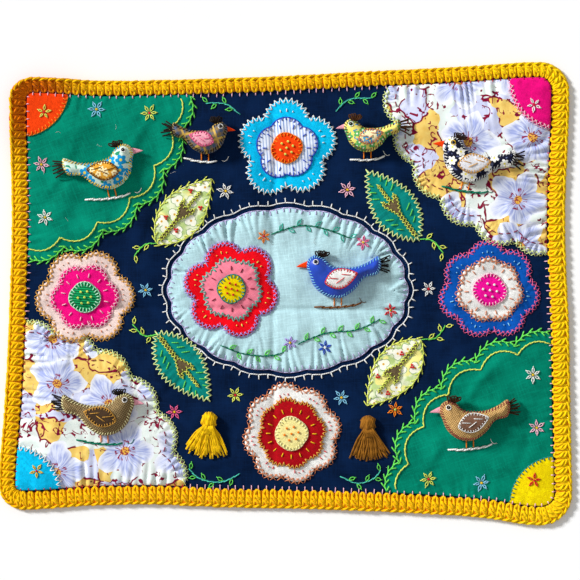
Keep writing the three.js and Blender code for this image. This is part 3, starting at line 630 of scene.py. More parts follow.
class Paint:
    """The nodes of one material. Lengths are in millimetres, and a colour may be given by its digits."""

    def __init__(self, name, roughness=0.9, sheen=0.0, gloss=0.05):
        self.material = bpy.data.materials.new(name)
        self.material.use_nodes = True
        self.tree = self.material.node_tree
        self.shader = self.tree.nodes["Principled BSDF"]
        self.shader.inputs["Roughness"].default_value = roughness
        self.shader.inputs["Sheen Weight"].default_value = sheen
        self.shader.inputs["Specular IOR Level"].default_value = gloss
        coordinates = self.tree.nodes.new("ShaderNodeTexCoord").outputs["Object"]
        self.spot = self.vector("SCALE", coordinates, 1 / MM)
        self.x, self.y, _ = self.split(self.spot)

    def feed(self, socket, value):
        """Links a socket to another one, or sets its value."""
        if isinstance(value, str):
            value = rgb(value)
        if isinstance(value, bpy.types.NodeSocket):
            self.tree.links.new(value, socket)
        elif socket.type == "RGBA":
            socket.default_value = (*value, 1.0)
        else:
            socket.default_value = value

    def math(self, operation, a, b=0.0):
        node = self.tree.nodes.new("ShaderNodeMath")
        node.operation = operation
        self.feed(node.inputs[0], a)
        self.feed(node.inputs[1], b)
        return node.outputs[0]

    def times(self, a, b):
        return self.math("MULTIPLY", a, b)

    def plus(self, a, b):
        return self.math("ADD", a, b)

    def minus(self, a, b):
        return self.math("SUBTRACT", a, b)

    def vector(self, operation, a, b):
        node = self.tree.nodes.new("ShaderNodeVectorMath")
        node.operation = operation
        self.feed(node.inputs[0], a)
        self.feed(node.inputs["Scale"] if operation == "SCALE" else node.inputs[1], b)
        return node.outputs["Vector"]

    def split(self, vector):
        node = self.tree.nodes.new("ShaderNodeSeparateXYZ")
        self.feed(node.inputs[0], vector)
        return node.outputs

    def join(self, x, y, z=0.0):
        node = self.tree.nodes.new("ShaderNodeCombineXYZ")
        for socket, value in zip(node.inputs, (x, y, z)):
            self.feed(socket, value)
        return node.outputs[0]

    def mix(self, share, a, b):
        node = self.tree.nodes.new("ShaderNodeMix")
        node.data_type = "RGBA"
        self.feed(node.inputs[0], share)
        self.feed(node.inputs[6], a)
        self.feed(node.inputs[7], b)
        return node.outputs[2]

    def over(self, tone, share, colour, much=1.0):
        """Lays a colour over the tone where share is high, as strongly as much says."""
        return self.mix(self.times(share, much) if much < 1 else share, tone, colour)

    def noise(self, size, detail=2.0, where=None, twist=0.0):
        node = self.tree.nodes.new("ShaderNodeTexNoise")
        self.feed(node.inputs["Vector"], where or self.spot)
        node.inputs["Scale"].default_value = 1 / size
        node.inputs["Detail"].default_value = detail
        node.inputs["Distortion"].default_value = twist
        return node.outputs[0]

    def cells(self, size, uneven=1.0, feature="F1", where=None):
        node = self.tree.nodes.new("ShaderNodeTexVoronoi")
        node.voronoi_dimensions = "2D"
        node.feature = feature
        self.feed(node.inputs["Vector"], where or self.spot)
        node.inputs["Scale"].default_value = 1 / size
        node.inputs["Randomness"].default_value = uneven
        return node.outputs

    def between(self, value, low, high):
        """0 where the value is at low, 1 where it is at high, and a soft change between."""
        node = self.tree.nodes.new("ShaderNodeMapRange")
        node.interpolation_type = "SMOOTHSTEP"
        self.feed(node.inputs["Value"], value)
        node.inputs["From Min"].default_value = low
        node.inputs["From Max"].default_value = high
        return node.outputs["Result"]

    def clouds(self, size, detail, low, high, **how):
        """Soft patches of noise, from 0 where it is at low to 1 where it is at high."""
        return self.between(self.noise(size, detail, **how), low, high)

    def turned(self, turn):
        """The place on the cloth, with the cloth's threads turned by an angle."""
        cos, sin = math.cos(math.radians(turn)), math.sin(math.radians(turn))
        along = self.plus(self.times(self.x, cos), self.times(self.y, sin))
        across = self.minus(self.times(self.y, cos), self.times(self.x, sin))
        return along, across

    def wave(self, value, pitch):
        """A wave from -1 to 1, pitch long."""
        return self.math("SINE", self.times(value, 2 * math.pi / pitch))

    def weave(self, pitch, turn=0.0):
        """The threads of a plain weave, from -1 to 1."""
        along, across = self.turned(turn)
        return self.times(self.wave(along, pitch * 2), self.wave(across, pitch * 2))

    def finish(self, colour, relief=None):
        """Sets the colour and the relief, which is a height in millimetres."""
        self.feed(self.shader.inputs["Base Color"], colour)
        if relief is not None:
            bump = self.tree.nodes.new("ShaderNodeBump")
            bump.inputs["Distance"].default_value = MM
            self.feed(bump.inputs["Height"], relief)
            self.feed(self.shader.inputs["Normal"], bump.outputs[0])
        return self.material

    def finish_woven(self, colour, turn=0.0, pitch=0.45):
        """Sets the colour, and a relief of threads and slubs."""
        slub = self.times(self.noise(1.4, 3), WEAVE_DEPTH * 2)
        return self.finish(colour, self.plus(self.times(self.weave(pitch, turn), WEAVE_DEPTH), slub))


def printed_cotton(name):
    """The start of a cotton on which something is printed or woven in."""
    return Paint(name, roughness=0.86, sheen=0.02)


def cotton(name, code, turn, contrast):
    """Plain dyed cotton: cloudy dye, slubs and a fine weave."""
    paint = Paint(name, roughness=0.88)
    base = rgb(code)
    cloudy = paint.clouds(16, 4, 0.3, 0.7)
    tone = paint.mix(cloudy, scaled(base, 1 - contrast), scaled(base, 1 + contrast * 0.5))
    for far, near in (paint.turned(turn), paint.turned(turn + 90)):
        streak = paint.clouds(1.3, 2, 0.42, 0.72, where=paint.join(paint.times(far, 0.09), near))
        tone = paint.over(tone, streak, scaled(base, 1.4), 0.42)
    tone = paint.over(tone, paint.clouds(1.1, 1, 0.6, 0.75), scaled(base, 1.7), 0.4)
    return paint.finish_woven(tone, turn)


def felt(name, code, contrast=0.2):
    """Felt: matted fibres and a soft surface."""
    paint = Paint(name, roughness=0.95, sheen=0.04)
    base = rgb(code)
    matted = paint.clouds(2.6, 5, 0.3, 0.7, twist=1.2)
    tone = paint.mix(matted, scaled(base, 1 - contrast), scaled(base, 1 + contrast * 0.6))
    tone = paint.over(tone, paint.clouds(18, 2, 0.35, 0.65), scaled(base, 0.78), 0.4)
    return paint.finish(tone, paint.times(paint.noise(1.1, 6, twist=2.0), 0.42))


def corduroy(name, code, pitch=2.0):
    """Corduroy: raised ribs painted lighter and grooves painted darker, as painted light and shade."""
    paint = Paint(name, roughness=0.9, sheen=0.05)
    base = rgb(code)
    _, across = paint.turned(-6)
    rib = paint.wave(across, pitch)
    # Painted shade in the grooves and painted light on the ribs.
    tone = paint.mix(paint.between(rib, -0.9, 0.3), scaled(base, 0.45), scaled(base, 1.15))
    return paint.finish(tone, paint.plus(paint.times(rib, 0.3), paint.times(paint.noise(0.7, 3), 0.2)))


def striped(name, code, line_code, pitch=2.6):
    """Cotton with thin woven stripes."""
    paint = Paint(name, roughness=0.85, sheen=0.02)
    along, _ = paint.turned(4)
    tone = paint.mix(paint.between(paint.wave(along, pitch), 0.1, 0.75), code, line_code)
    tone = paint.over(tone, paint.clouds(10, 3, 0.3, 0.7), scaled(rgb(code), 1.2), 0.3)
    return paint.finish_woven(tone)


def blossoms(paint, size, reach, petals, uneven, where=None):
    """Scattered printed flowers: how far inside a flower a place is, how far from its middle, and which
    way it lies from there."""
    where = where or paint.spot
    cell = paint.cells(size, uneven, where=where)
    x, y, _ = paint.split(paint.vector("SUBTRACT", where, cell["Position"]))
    far = paint.math("SQRT", paint.plus(paint.math("POWER", x, 2), paint.math("POWER", y, 2)))
    chance, _, _ = paint.split(cell["Color"])
    angle = paint.plus(paint.math("ARCTAN2", y, x), paint.times(chance, 6.3))
    lobe = paint.math("ABSOLUTE", paint.math("COSINE", paint.times(angle, petals / 2)))
    wobble = paint.times(paint.noise(size / 5, 1), reach * 0.3)
    edge = paint.plus(paint.times(lobe, reach * 0.38), reach * 0.5)
    return paint.minus(paint.plus(edge, wobble), far), far, angle, lobe


def wavy_place(paint, size, much):
    """The place on the cloth, shifted to and fro so that printed edges wander."""
    other = paint.join(paint.y, paint.x, 60.0)
    shift = paint.join(paint.minus(paint.noise(size, 1), 0.5),
                       paint.minus(paint.noise(size, 1, where=other), 0.5))
    return paint.vector("ADD", paint.spot, paint.vector("SCALE", shift, much))


def petal_patches(paint, where):
    """Overlapping printed petals in aqua, white, lilac and gold, with broken burgundy edges."""
    chance, _, _ = paint.split(paint.cells(21, where=where)["Color"])
    shade = paint.noise(6, 2, where=where)
    tone = paint.mix(shade, "d6e8e4", "f4f6f0")
    tone = paint.mix(paint.between(chance, 0.6, 0.62), tone, paint.mix(shade, "fbe68a", "e2a93e"))
    tone = paint.mix(paint.between(chance, 0.22, 0.2), tone, paint.mix(shade, "b4bce8", "e6e9f8"))
    edge = paint.cells(21, feature="DISTANCE_TO_EDGE", where=where)["Distance"]
    line = paint.between(edge, 0.05, 0.03)
    return paint.mix(paint.times(line, paint.clouds(12, 1, 0.5, 0.53)), tone, "7d1030")


def large_petals(paint, inside, far, angle, lobe):
    """The streaked colour of the large printed flowers."""
    place = paint.join(paint.times(angle, 11.0), paint.times(far, 0.1))
    petal = paint.mix(paint.clouds(1.1, 2, 0.3, 0.7, where=place), "9ca8dc", "dde3f6")
    petal = paint.over(petal, paint.between(inside, 7.0, 0.5), "eef1fa")
    return paint.over(petal, paint.between(lobe, 0.3, 0.0), "7f8ac8", 0.7)


def floral(name):
    """Cotton printed with large lilac flowers over petals of aqua, white and gold."""
    paint = printed_cotton(name)
    tone = petal_patches(paint, wavy_place(paint, 9, 9.0))
    vine = paint.math("ABSOLUTE", paint.minus(paint.noise(15, 1, twist=1.5), 0.5))
    vines = paint.times(paint.between(vine, 0.034, 0.022), paint.clouds(8, 0, 0.52, 0.55))
    tone = paint.over(tone, vines, "861236")
    blots = paint.clouds(5.5, 1, 0.68, 0.71, where=paint.join(paint.y, paint.x, 9.0))
    tone = paint.over(tone, blots, "7a0e34")

    inside, far, angle, lobe = blossoms(paint, 56, 25, 5, 0.75, wavy_place(paint, 12, 5.0))
    petal = large_petals(paint, inside, far, angle, lobe)
    tone = paint.over(tone, paint.between(inside, 0.0, 0.5), petal)
    stroke_place = paint.join(paint.times(angle, 4.5), paint.times(far, 0.16))
    stroke = paint.clouds(1.0, 1, 0.54, 0.58, where=stroke_place)
    ring = paint.times(paint.between(far, 9.5, 8.0), paint.between(far, 2.0, 3.0))
    tone = paint.over(tone, paint.times(stroke, ring), "8c1640")
    heart = paint.mix(paint.clouds(1.4, 1, 0.45, 0.6), "eeb64a", "8e2440")
    return paint.finish_woven(paint.over(tone, paint.between(far, 4.2, 3.4), heart))


def leaf_print(name):
    """Cotton printed in mottled pale greens and yellow."""
    paint = printed_cotton(name)
    tone = paint.mix(paint.clouds(9, 2, 0.42, 0.58), "b9cf84", "e6ecc8")
    other_place = paint.join(paint.y, paint.x, 5.0)
    tone = paint.over(tone, paint.clouds(13, 1, 0.55, 0.62, where=other_place), "f2e98e")
    inside, far, _, _ = blossoms(paint, 12, 5.4, 3, 0.9)
    tone = paint.over(tone, paint.between(inside, 0, 0.5), "f5f4e2")
    line = paint.between(paint.math("ABSOLUTE", inside), 0.5, 0.15)
    tone = paint.over(tone, line, "6f9a62", 0.8)
    return paint.finish_woven(paint.over(tone, paint.between(far, 1.2, 0.8), "d8a43c"))


def calico(name, ground_code, petal_code, heart_code, leaf_code, size=8.0, petals=5):
    """Cotton printed with small flowers and leaf marks."""
    paint = printed_cotton(name)
    ground = rgb(ground_code)
    tone = paint.mix(paint.noise(7, 3), scaled(ground, 0.85), scaled(ground, 1.12))
    tone = paint.over(tone, paint.clouds(size * 0.35, 1, 0.6, 0.66), leaf_code)
    inside, far, _, _ = blossoms(paint, size, size * 0.44, petals, 0.8)
    tone = paint.over(tone, paint.between(inside, 0, 0.3), petal_code)
    tone = paint.over(tone, paint.between(far, size * 0.13, size * 0.08), heart_code)
    return paint.finish_woven(tone, pitch=0.4)


def plaid(name, code, other_code, line_code, pitch=5.0, turn=20):
    """Woven check: bands of two colours that cross, with thin lines of a third."""
    paint = printed_cotton(name)
    ways = paint.turned(turn)
    bands = [paint.between(paint.wave(way, pitch), -0.25, 0.25) for way in ways]
    tone = paint.mix(paint.times(paint.plus(*bands), 0.5), code, other_code)
    lines = [paint.between(paint.wave(way, pitch * 2.5), 0.86, 0.94) for way in ways]
    return paint.finish_woven(paint.over(tone, paint.math("MAXIMUM", *lines), line_code, 0.8), turn)


def burlap(name, code, pitch=1.1):
    """Coarse sacking with uneven threads, painted lighter on the threads and darker between them as painted
    light and shade.
    """
    paint = Paint(name, roughness=0.95)
    base = rgb(code)
    weave = paint.weave(pitch, 12)
    # Darker in the low places of the weave and lighter on the high ones: painted shade and light.
    tone = paint.mix(paint.between(weave, -0.5, 0.4), scaled(base, 0.45), scaled(base, 1.3))
    slub = paint.clouds(1.6, 3, 0.5, 0.7, twist=1.0)
    tone = paint.over(tone, slub, scaled(base, 0.55), 0.6)
    tone = paint.over(tone, paint.clouds(2.4, 3, 0.58, 0.7), scaled(base, 1.6), 0.5)
    return paint.finish(tone, paint.plus(paint.times(weave, 0.22), paint.times(slub, 0.2)))


def satin(name, code):
    """Satin with soft gloss."""
    paint = Paint(name, roughness=0.34, sheen=0.1, gloss=0.4)
    base = rgb(code)
    tone = paint.mix(paint.clouds(11, 2, 0.35, 0.65), scaled(base, 0.8), scaled(base, 1.2))
    return paint.finish(tone, paint.times(paint.noise(0.5, 1), 0.03))


def spun(name, roughness, sheen, plies, lay, depth, contrast):
    """Yarn or thread. Its colour is in the mesh, and its plies wind round it, with painted shade in the
    grooves between them.
    """
    paint = Paint(name, roughness=roughness, sheen=sheen)
    tint = paint.tree.nodes.new("ShaderNodeVertexColor")
    tint.layer_name = "tint"
    colour = tint.outputs["Color"]
    along = paint.tree.nodes.new("ShaderNodeUVMap")
    along.uv_map = "along"
    around, length, _ = paint.split(along.outputs["UV"])
    turns = paint.plus(paint.times(around, plies), paint.math("DIVIDE", length, lay))
    ply = paint.math("SINE", paint.times(turns, 2 * math.pi))
    # Darker in the grooves between the plies: painted shade.
    tone = paint.mix(paint.between(ply, -0.9, 0.2), paint.vector("SCALE", colour, 1 - contrast), colour)
    fuzz = paint.clouds(0.6, 3, 0.35, 0.7)
    tone = paint.over(tone, fuzz, paint.vector("SCALE", colour, 1.12), 0.5)
    return paint.finish(tone, paint.plus(paint.times(ply, depth), paint.times(fuzz, depth * 0.5)))


def glossy(name, code):
    """A polished bead."""
    paint = Paint(name, roughness=0.12, gloss=0.5)
    base = rgb(code)
    return paint.finish(paint.mix(paint.noise(1.5, 2), base, scaled(base, 1.6)))


def make_cloths():
    """Each cloth's material, the kind that it lies like and its slot in the record, by its name."""
    made = {}
    for row in COTTONS:
        slot = row["name"] + "_cotton"
        made[row["name"]] = (cotton(slot, row["code"], row["turn"], row["contrast"]), row["kind"], slot)
    for name, code in FELTS.items():
        made[name] = (felt(name + "_felt", code), "felt", name + "_felt")
    others = table(
        "name kind slot paint values",
        ("floral", "thin", "floral_cotton", floral, ()),
        ("pale_green", "cotton", "pale_green_print", leaf_print, ()),
        ("olive", "felt", "olive_felt", felt, ("6b5b40", 0.25)),
        ("rose", "felt", "rose_cotton", felt, ("eea4b4",)),
        ("pearl", "felt", "pearl_check", felt, ("e9e9ee",)),
        ("corduroy", "felt", "green_corduroy", corduroy, ("12a05e",)),
        ("striped", "cotton", "striped_cotton", striped, ("dfe6f4", "6f8fc8")),
        ("blue_check", "cotton", "blue_check", calico, ("cfe6d8", "1794cf", "f6d84a", "2b8c6a", 11.0)),
        ("mustard", "felt", "mustard_calico", calico, ("dfa238", "f6e6b0", "8e4a1c", "b8741c", 6.0)),
        ("butter", "cotton", "butter_calico", calico, ("ecdc70", "5cae5c", "f8f4e0", "4a90b8", 7.0, 4)),
        ("ivory", "felt", "ivory_cotton", calico, ("f6e8ba", "4aa0c8", "f2c83c", "a8b85c", 7.0)),
        ("ink", "cotton", "ink_calico", calico, ("16182c", "f2f2ec", "f0e05c", "5c6488", 9.0, 6)),
        ("plaid", "cotton", "brown_plaid", plaid, ("8c7448", "4c5c78", "d8b04c")),
        ("cobalt", "cotton", "cobalt_satin", satin, ("143fae",)),
        ("burlap", "cotton", "burlap", burlap, ("8a7450",)),
        ("wheat", "cotton", "wheat_cotton", burlap, ("c49c62", 1.0)),
    )
    for row in others:
        made[row["name"]] = (row["paint"](row["slot"], *row["values"]), row["kind"], row["slot"])
    return made


cloths = make_cloths()
thread_material = spun("embroidery_thread", 0.5, 0.05, plies=2, lay=1.8, depth=0.1, contrast=0.22)
yarn_material = spun("crochet_yarn", 0.8, 0.04, plies=3, lay=4.6, depth=0.22, contrast=0.2)
tassel_material = spun("tassel_yarn", 0.8, 0.04, plies=2, lay=6.0, depth=0.14, contrast=0.25)
eye_material = glossy("eye_bead", "0c0a0c")


# Laid cloth

class Pile:
    """The tops of the cloths laid so far, which the next piece lies on."""

    def __init__(self):
        self.points = []
        self.faces = []
        self.count = 0
        self.tree = None

    def add(self, points, triangles):
        self.points.extend(map(tuple, points))
        self.faces.extend(map(tuple, triangles + self.count))
        self.count += len(points)
        self.tree = None

    def height(self, places, bare=0.0):
        """How high the pile's top is at each place, and bare where there is none."""
        if self.tree is None:
            self.tree = BVHTree.FromPolygons(self.points, self.faces)
        down = Vector((0, 0, -1))
        found = [self.tree.ray_cast(Vector((x, y, 90)), down)[0] for x, y in places]
        return np.array([bare if spot is None else spot.z for spot in found])


pile = Pile()


def inside_loop(places, loop):
    """Whether each place is inside a loop."""
    result = np.zeros(len(places), bool)
    start, end = loop, np.roll(loop, -1, axis=0)
    for first in range(0, len(places), 2000):
        x, y = places[first:first + 2000].T[:, :, None]
        spans = (start[:, 1] > y) != (end[:, 1] > y)
        rise = np.where(end[:, 1] == start[:, 1], 1e-9, end[:, 1] - start[:, 1])
        crossing = start[:, 0] + (y - start[:, 1]) / rise * (end[:, 0] - start[:, 0])
        result[first:first + 2000] = np.sum(spans & (x < crossing), axis=1) % 2 == 1
    return result


def nearest(places, spots):
    """For each place, the number of the nearest spot and how far away that is."""
    tree = kdtree.KDTree(len(spots))
    for k, (x, y) in enumerate(spots):
        tree.insert((x, y, 0), k)
    tree.balance()
    found = [tree.find((x, y, 0)) for x, y in places]
    return np.array([row[1] for row in found]), np.array([row[2] for row in found])


def from_edge(places, loop):
    """How far each place is from a loop, and how far round the loop the nearest point is."""
    step = 0.5
    number, distance = nearest(places, loop_by_step(loop, step))
    return distance, number * step


def cut_plan(loop, spacing, rings=(0.45, 1.1)):
    """Triangles that fill a loop: its own points, rings just inside it and an even grid."""
    inward = -outward_of(loop)
    low, high = loop.min(axis=0), loop.max(axis=0)
    row_gap = spacing * math.sqrt(3) / 2
    rows = np.arange(low[1], high[1], row_gap)
    columns = np.arange(low[0], high[0], spacing)
    grid_x = columns[None, :] + (np.arange(len(rows)) % 2)[:, None] * spacing / 2
    grid = np.column_stack([grid_x.ravel(), np.repeat(rows, len(columns))])
    grid = grid[inside_loop(grid, loop)]
    distance, _ = from_edge(grid, loop)
    keep = [grid[distance > rings[-1] + spacing * 0.45]]
    for depth in rings:
        ring = loop + inward * depth
        ring = ring[inside_loop(ring, loop)]
        away, _ = from_edge(ring, loop)
        keep.append(ring[away > depth * 0.8])
    places = np.vstack([loop, *keep])
    plan = geometry.delaunay_2d_cdt([Vector(p) for p in places], [], [list(range(len(loop)))], 1, 1e-4)
    points = np.array([tuple(p) for p in plan[0]])
    triangles = np.array([face for face in plan[2] if len(face) == 3])
    a, b, c = (points[triangles[:, k]] for k in range(3))
    area = (b[:, 0] - a[:, 0]) * (c[:, 1] - a[:, 1]) - (b[:, 1] - a[:, 1]) * (c[:, 0] - a[:, 0])
    triangles[area < 0] = triangles[area < 0][:, ::-1]
    return points, triangles


def edges_of(triangles):
    """The three edges of every triangle."""
    return np.vstack([triangles[:, [0, 1]], triangles[:, [1, 2]], triangles[:, [2, 0]]])


def rim_edges(triangles):
    """The open edges of a sheet of triangles, each running with the sheet on its left."""
    edges = edges_of(triangles)
    seen = set(map(tuple, edges))
    return np.array([edge for edge in edges if (edge[1], edge[0]) not in seen])


def settled(under, triangles, rounds):
    """Lets a sheet down on what lies under it: never below it, and without sharp steps."""
    edges = edges_of(triangles)
    start, end = np.vstack([edges, edges[:, ::-1]]).T
    neighbours = np.maximum(np.bincount(start, minlength=len(under)), 1)
    floor = under.copy()
    np.maximum.at(floor, start, under[end])
    height = floor.copy()
    for _ in range(rounds):
        mean = np.bincount(start, weights=height[end], minlength=len(under)) / neighbours
        height = np.maximum(floor - 0.05, 0.5 * height + 0.5 * mean)
    return height


def edge_noise(along, size, seed):
    """Soft noise along an edge."""
    return soft_noise(along, along * 0, size, seed)


def edge_relief(distance, along, kind, seed):
    """How a sewn edge rolls down and puckers between its stitches."""
    inner = 1 - np.clip(distance / kind["roll"], 0, 1)
    roll = np.sqrt(np.clip(1 - inner ** 2, 0, 1))
    lean = PUCKER["lean"] * distance * edge_noise(along, 40, seed + 3)
    drift = PUCKER["drift"] * edge_noise(along, 26, seed) + lean
    tuck = 2 * np.abs(np.sin(math.pi * (along / kind["pitch"] + drift))) ** 0.9 - PUCKER["level"]
    strength = np.clip(0.75 + 1.1 * edge_noise(along, 14, seed + 5), 0.12, 1.5)
    reach = kind["reach"] * np.clip(0.8 + 0.8 * edge_noise(along, 11, seed + 9), 0.3, 1.5)
    fade = np.exp(-(distance / reach) ** 1.3)
    pull = kind["loft"] * (1 - np.exp(-distance / PATCH["rise"])) - PUCKER["sewn"]
    return kind["thick"] * roll + pull * roll + kind["pucker"] * strength * tuck * fade * roll


def sheet_height(points, triangles, loop, kind, seed):
    """The top and the underside of a patch laid on the pile."""
    x, y = points.T
    lie = lie_of(x, y)
    under = pile.height(points, CLOTH_THICK) - lie
    base = settled(under, triangles, 14 if kind["thick"] > 1 else 8) + lie
    distance, along = from_edge(points, loop)
    top = base + edge_relief(distance, along, kind, seed)
    inner = 1 - np.exp(-distance / PATCH["rise"])
    top = top + kind["crease"] * inner * creases(x, y, seed)
    return np.maximum(top, base + PATCH["least"]), base - PATCH["sink"]


def close_sheet(points, triangles, top, low):
    """A closed sheet from its plan and its two heights."""
    count = len(points)
    rim = rim_edges(triangles)
    walls = np.column_stack([rim[:, 0], rim[:, 1], rim[:, 1] + count, rim[:, 0] + count])[:, ::-1]
    solid = np.vstack([np.column_stack([points, top]), np.column_stack([points, low])])
    return solid, [triangles, triangles[:, ::-1] + count, walls]


def lay_patch(node, loop, cloth, seed):
    """Cuts a patch, lays it on the pile and gives it its cloth."""
    material, kind_name, slot = cloths[cloth]
    loop = loop_by_step(loop, PATCH["edge_step"])
    points, triangles = cut_plan(loop, PATCH["thin_step" if kind_name == "thin" else "step"])
    top, low = sheet_height(points, triangles, loop, CLOTH_KINDS[kind_name], seed)
    piece = mesh_object(node + "_cloth", *close_sheet(points, triangles, top, low))
    dress(piece, material, node)
    pile.add(np.column_stack([points, top]), triangles)


def lay_ground(loops):
    """The ground cloth, drawn down a little round what is sewn to it."""
    loop = loop_by_step(field_outline(-1.0), GROUND["edge_step"])
    points, triangles = cut_plan(loop, GROUND["step"], rings=(0.8, 2.0))
    x, y = points.T
    distance, along = from_edge(points, loop)
    _, near = nearest(points, np.vstack(loops))
    lie = lie_of(x, y)
    soft = GROUND["soft"] * (1 - np.exp(-near / GROUND["soft_reach"])) * smooth_step(distance, 4, 22)
    hem = GROUND["hem"] * np.cos(2 * math.pi * along / HEM_PITCH) * np.exp(-distance / 8)
    crease = GROUND["crease"] * smooth_step(distance, 3, 20) * creases(x, y, SEEDS["creases"])
    top = lie + CLOTH_THICK - GROUND["settle"] + soft + hem * smooth_step(distance, 0, 3) + crease * 0.6
    top = top - GROUND["edge"] * (1 - smooth_step(distance, 0, 2.5))
    low = np.maximum(lie + 0.4 * crease * smooth_step(distance, 8, 30), GROUND["above"])
    top = np.maximum(top, low + GROUND["least"])
    piece = mesh_object("ground_sheet", *close_sheet(points, triangles, top, low))
    dress(piece, cloths["navy"][0], "ground_cloth")
    pile.add(np.column_stack([points, top]), triangles)


# Outlines of the patches

def clipped_to_field(loop, inset):
    """The part of a loop inside the cloth, closed along the cloth's edge."""
    field = loop_by_step(field_outline(inset), 1.0)
    inside = inside_loop(loop, field)
    first = int(np.flatnonzero(inside & ~np.roll(inside, 1))[0])
    run = np.roll(loop, -first, axis=0)[np.roll(inside, -first)]
    leave = int(np.argmin(np.linalg.norm(field - run[-1], axis=1)))
    enter = int(np.argmin(np.linalg.norm(field - run[0], axis=1)))
    stretch = np.roll(field, -leave, axis=0)[:(enter - leave) % len(field) + 1]
    return np.vstack([run, stretch[1:-1]])


def arc_loop(fan, radius, scallops, count):
    """A fan's point and its arc, scalloped or plain."""
    share = np.linspace(0, 1, count)
    angle = np.radians(fan["opens"] + 90 * share)
    reach = scalloped(share, radius) if scallops else np.full(count, float(radius))
    arc = np.column_stack([fan["x"] + reach * np.cos(angle), fan["y"] + reach * np.sin(angle)])
    return np.vstack([[(fan["x"], fan["y"])], arc])


def scalloped(share, radius):
    """The reach of a fan's arc at a share of its turn."""
    return radius + FAN_SIZE["depth"] * np.abs(np.sin(share * FAN_SIZE["scallops"] * math.pi)) ** 0.8


def fan_loop(fan):
    """A fan, cut off along the border."""
    return clipped_to_field(arc_loop(fan, FAN_SIZE["radius"], True, 241), BORDER_GAP + FAN_INSET)


def handle_loop(fan):
    """The rounded handle at a fan's point."""
    return clipped_to_field(arc_loop(fan, HANDLE_RADIUS, False, 61), BORDER_GAP + FAN_INSET)


def medallion_loop(grow=0.0):
    """The scalloped oval in the middle, enlarged by grow."""
    angle = np.linspace(0, 2 * math.pi, 480, endpoint=False)
    reach = 1 - MEDALLION["depth"] + MEDALLION["depth"] * np.abs(np.cos(MEDALLION["scallops"] * angle / 2))
    wide, high = MEDALLION["half_width"] + grow, MEDALLION["half_height"] + grow
    return np.column_stack([MEDALLION["x"] + wide * reach * np.cos(angle),
                            MEDALLION["y"] + high * reach * np.sin(angle)])


def lobed_loop(flower, radius, lobes, depth):
    """A round-lobed loop, cut a little unevenly by hand."""
    angle = np.linspace(0, 2 * math.pi, 360, endpoint=False)
    petal = 1 - depth + depth * np.abs(np.cos(lobes * angle / 2)) ** 0.7
    uneven = 1 + HAND_CUT * (np.sin(2 * angle + flower["x"]) + np.sin(3 * angle + flower["y"]))
    reach = radius * petal * uneven
    spots = np.column_stack([reach * np.cos(angle), reach * np.sin(angle)])
    return placed(spots, flower["x"], flower["y"], flower["turn"])


def leaf_half(share, width):
    """Half of a leaf's width at a share of its length."""
    return width * np.sin(math.pi * share ** 0.85) ** 0.9 / 2


def leaf_loop(length, width):
    """A leaf along the X axis, pointed at both ends."""
    share = np.linspace(0, 1, 60)
    half = leaf_half(share, width)
    x = (share - 0.5) * length
    near = np.column_stack([x, -half])
    far = np.column_stack([x, half])[::-1]
    return np.vstack([near, far[1:-1]])


def rib_loop():
    """The felt rib on a leaf, alike to both sides."""
    near = [(along * LEAF_SIZE["length"], -across * LEAF_SIZE["width"]) for along, across in RIB_OUTLINE]
    return np.array(near + [(x, -y) for x, y in reversed(near)])


def spot_of(thing):
    """Where a thing lies, as placed() takes it."""
    return {key: thing[key] for key in ("x", "y", "turn", "size", "flip") if key in thing}


# Hand stitches

class Path:
    """A line to sew along. Its left side is the inner side of an anticlockwise loop."""

    def __init__(self, points, closed=True):
        line = ring_of(points) if closed else np.asarray(points, float)
        steps = np.linalg.norm(np.diff(line, axis=0), axis=1)
        length = steps.sum()
        self.line = even_points(line, max(8, int(length)))
        self.length = length
        self.closed = closed
        tangent = unit(np.gradient(self.line, axis=0))
        if closed:
            tangent[0] = tangent[-1] = unit(tangent[0] + tangent[-1])
        self.left = np.column_stack([-tangent[:, 1], tangent[:, 0]])

    def at(self, along, side=0.0):
        """The point at a distance along the path, moved to its left by side."""
        share = along / self.length
        share = share % 1 if self.closed else min(max(share, 0), 1)
        place = share * (len(self.line) - 1)
        k = min(int(place), len(self.line) - 2)
        rest = place - k
        spot = self.line[k] * (1 - rest) + self.line[k + 1] * rest
        left = self.left[k] * (1 - rest) + self.left[k + 1] * rest
        return spot + left * side

    def left_at(self, along):
        """The direction to the left of the path."""
        return self.at(along, 1.0) - self.at(along)

    def marks(self, every):
        """Even places along the path, about every so far, and the gap between them."""
        count = max(2, round(self.length / every))
        gap = self.length / count
        return [k * gap for k in range(count)], gap


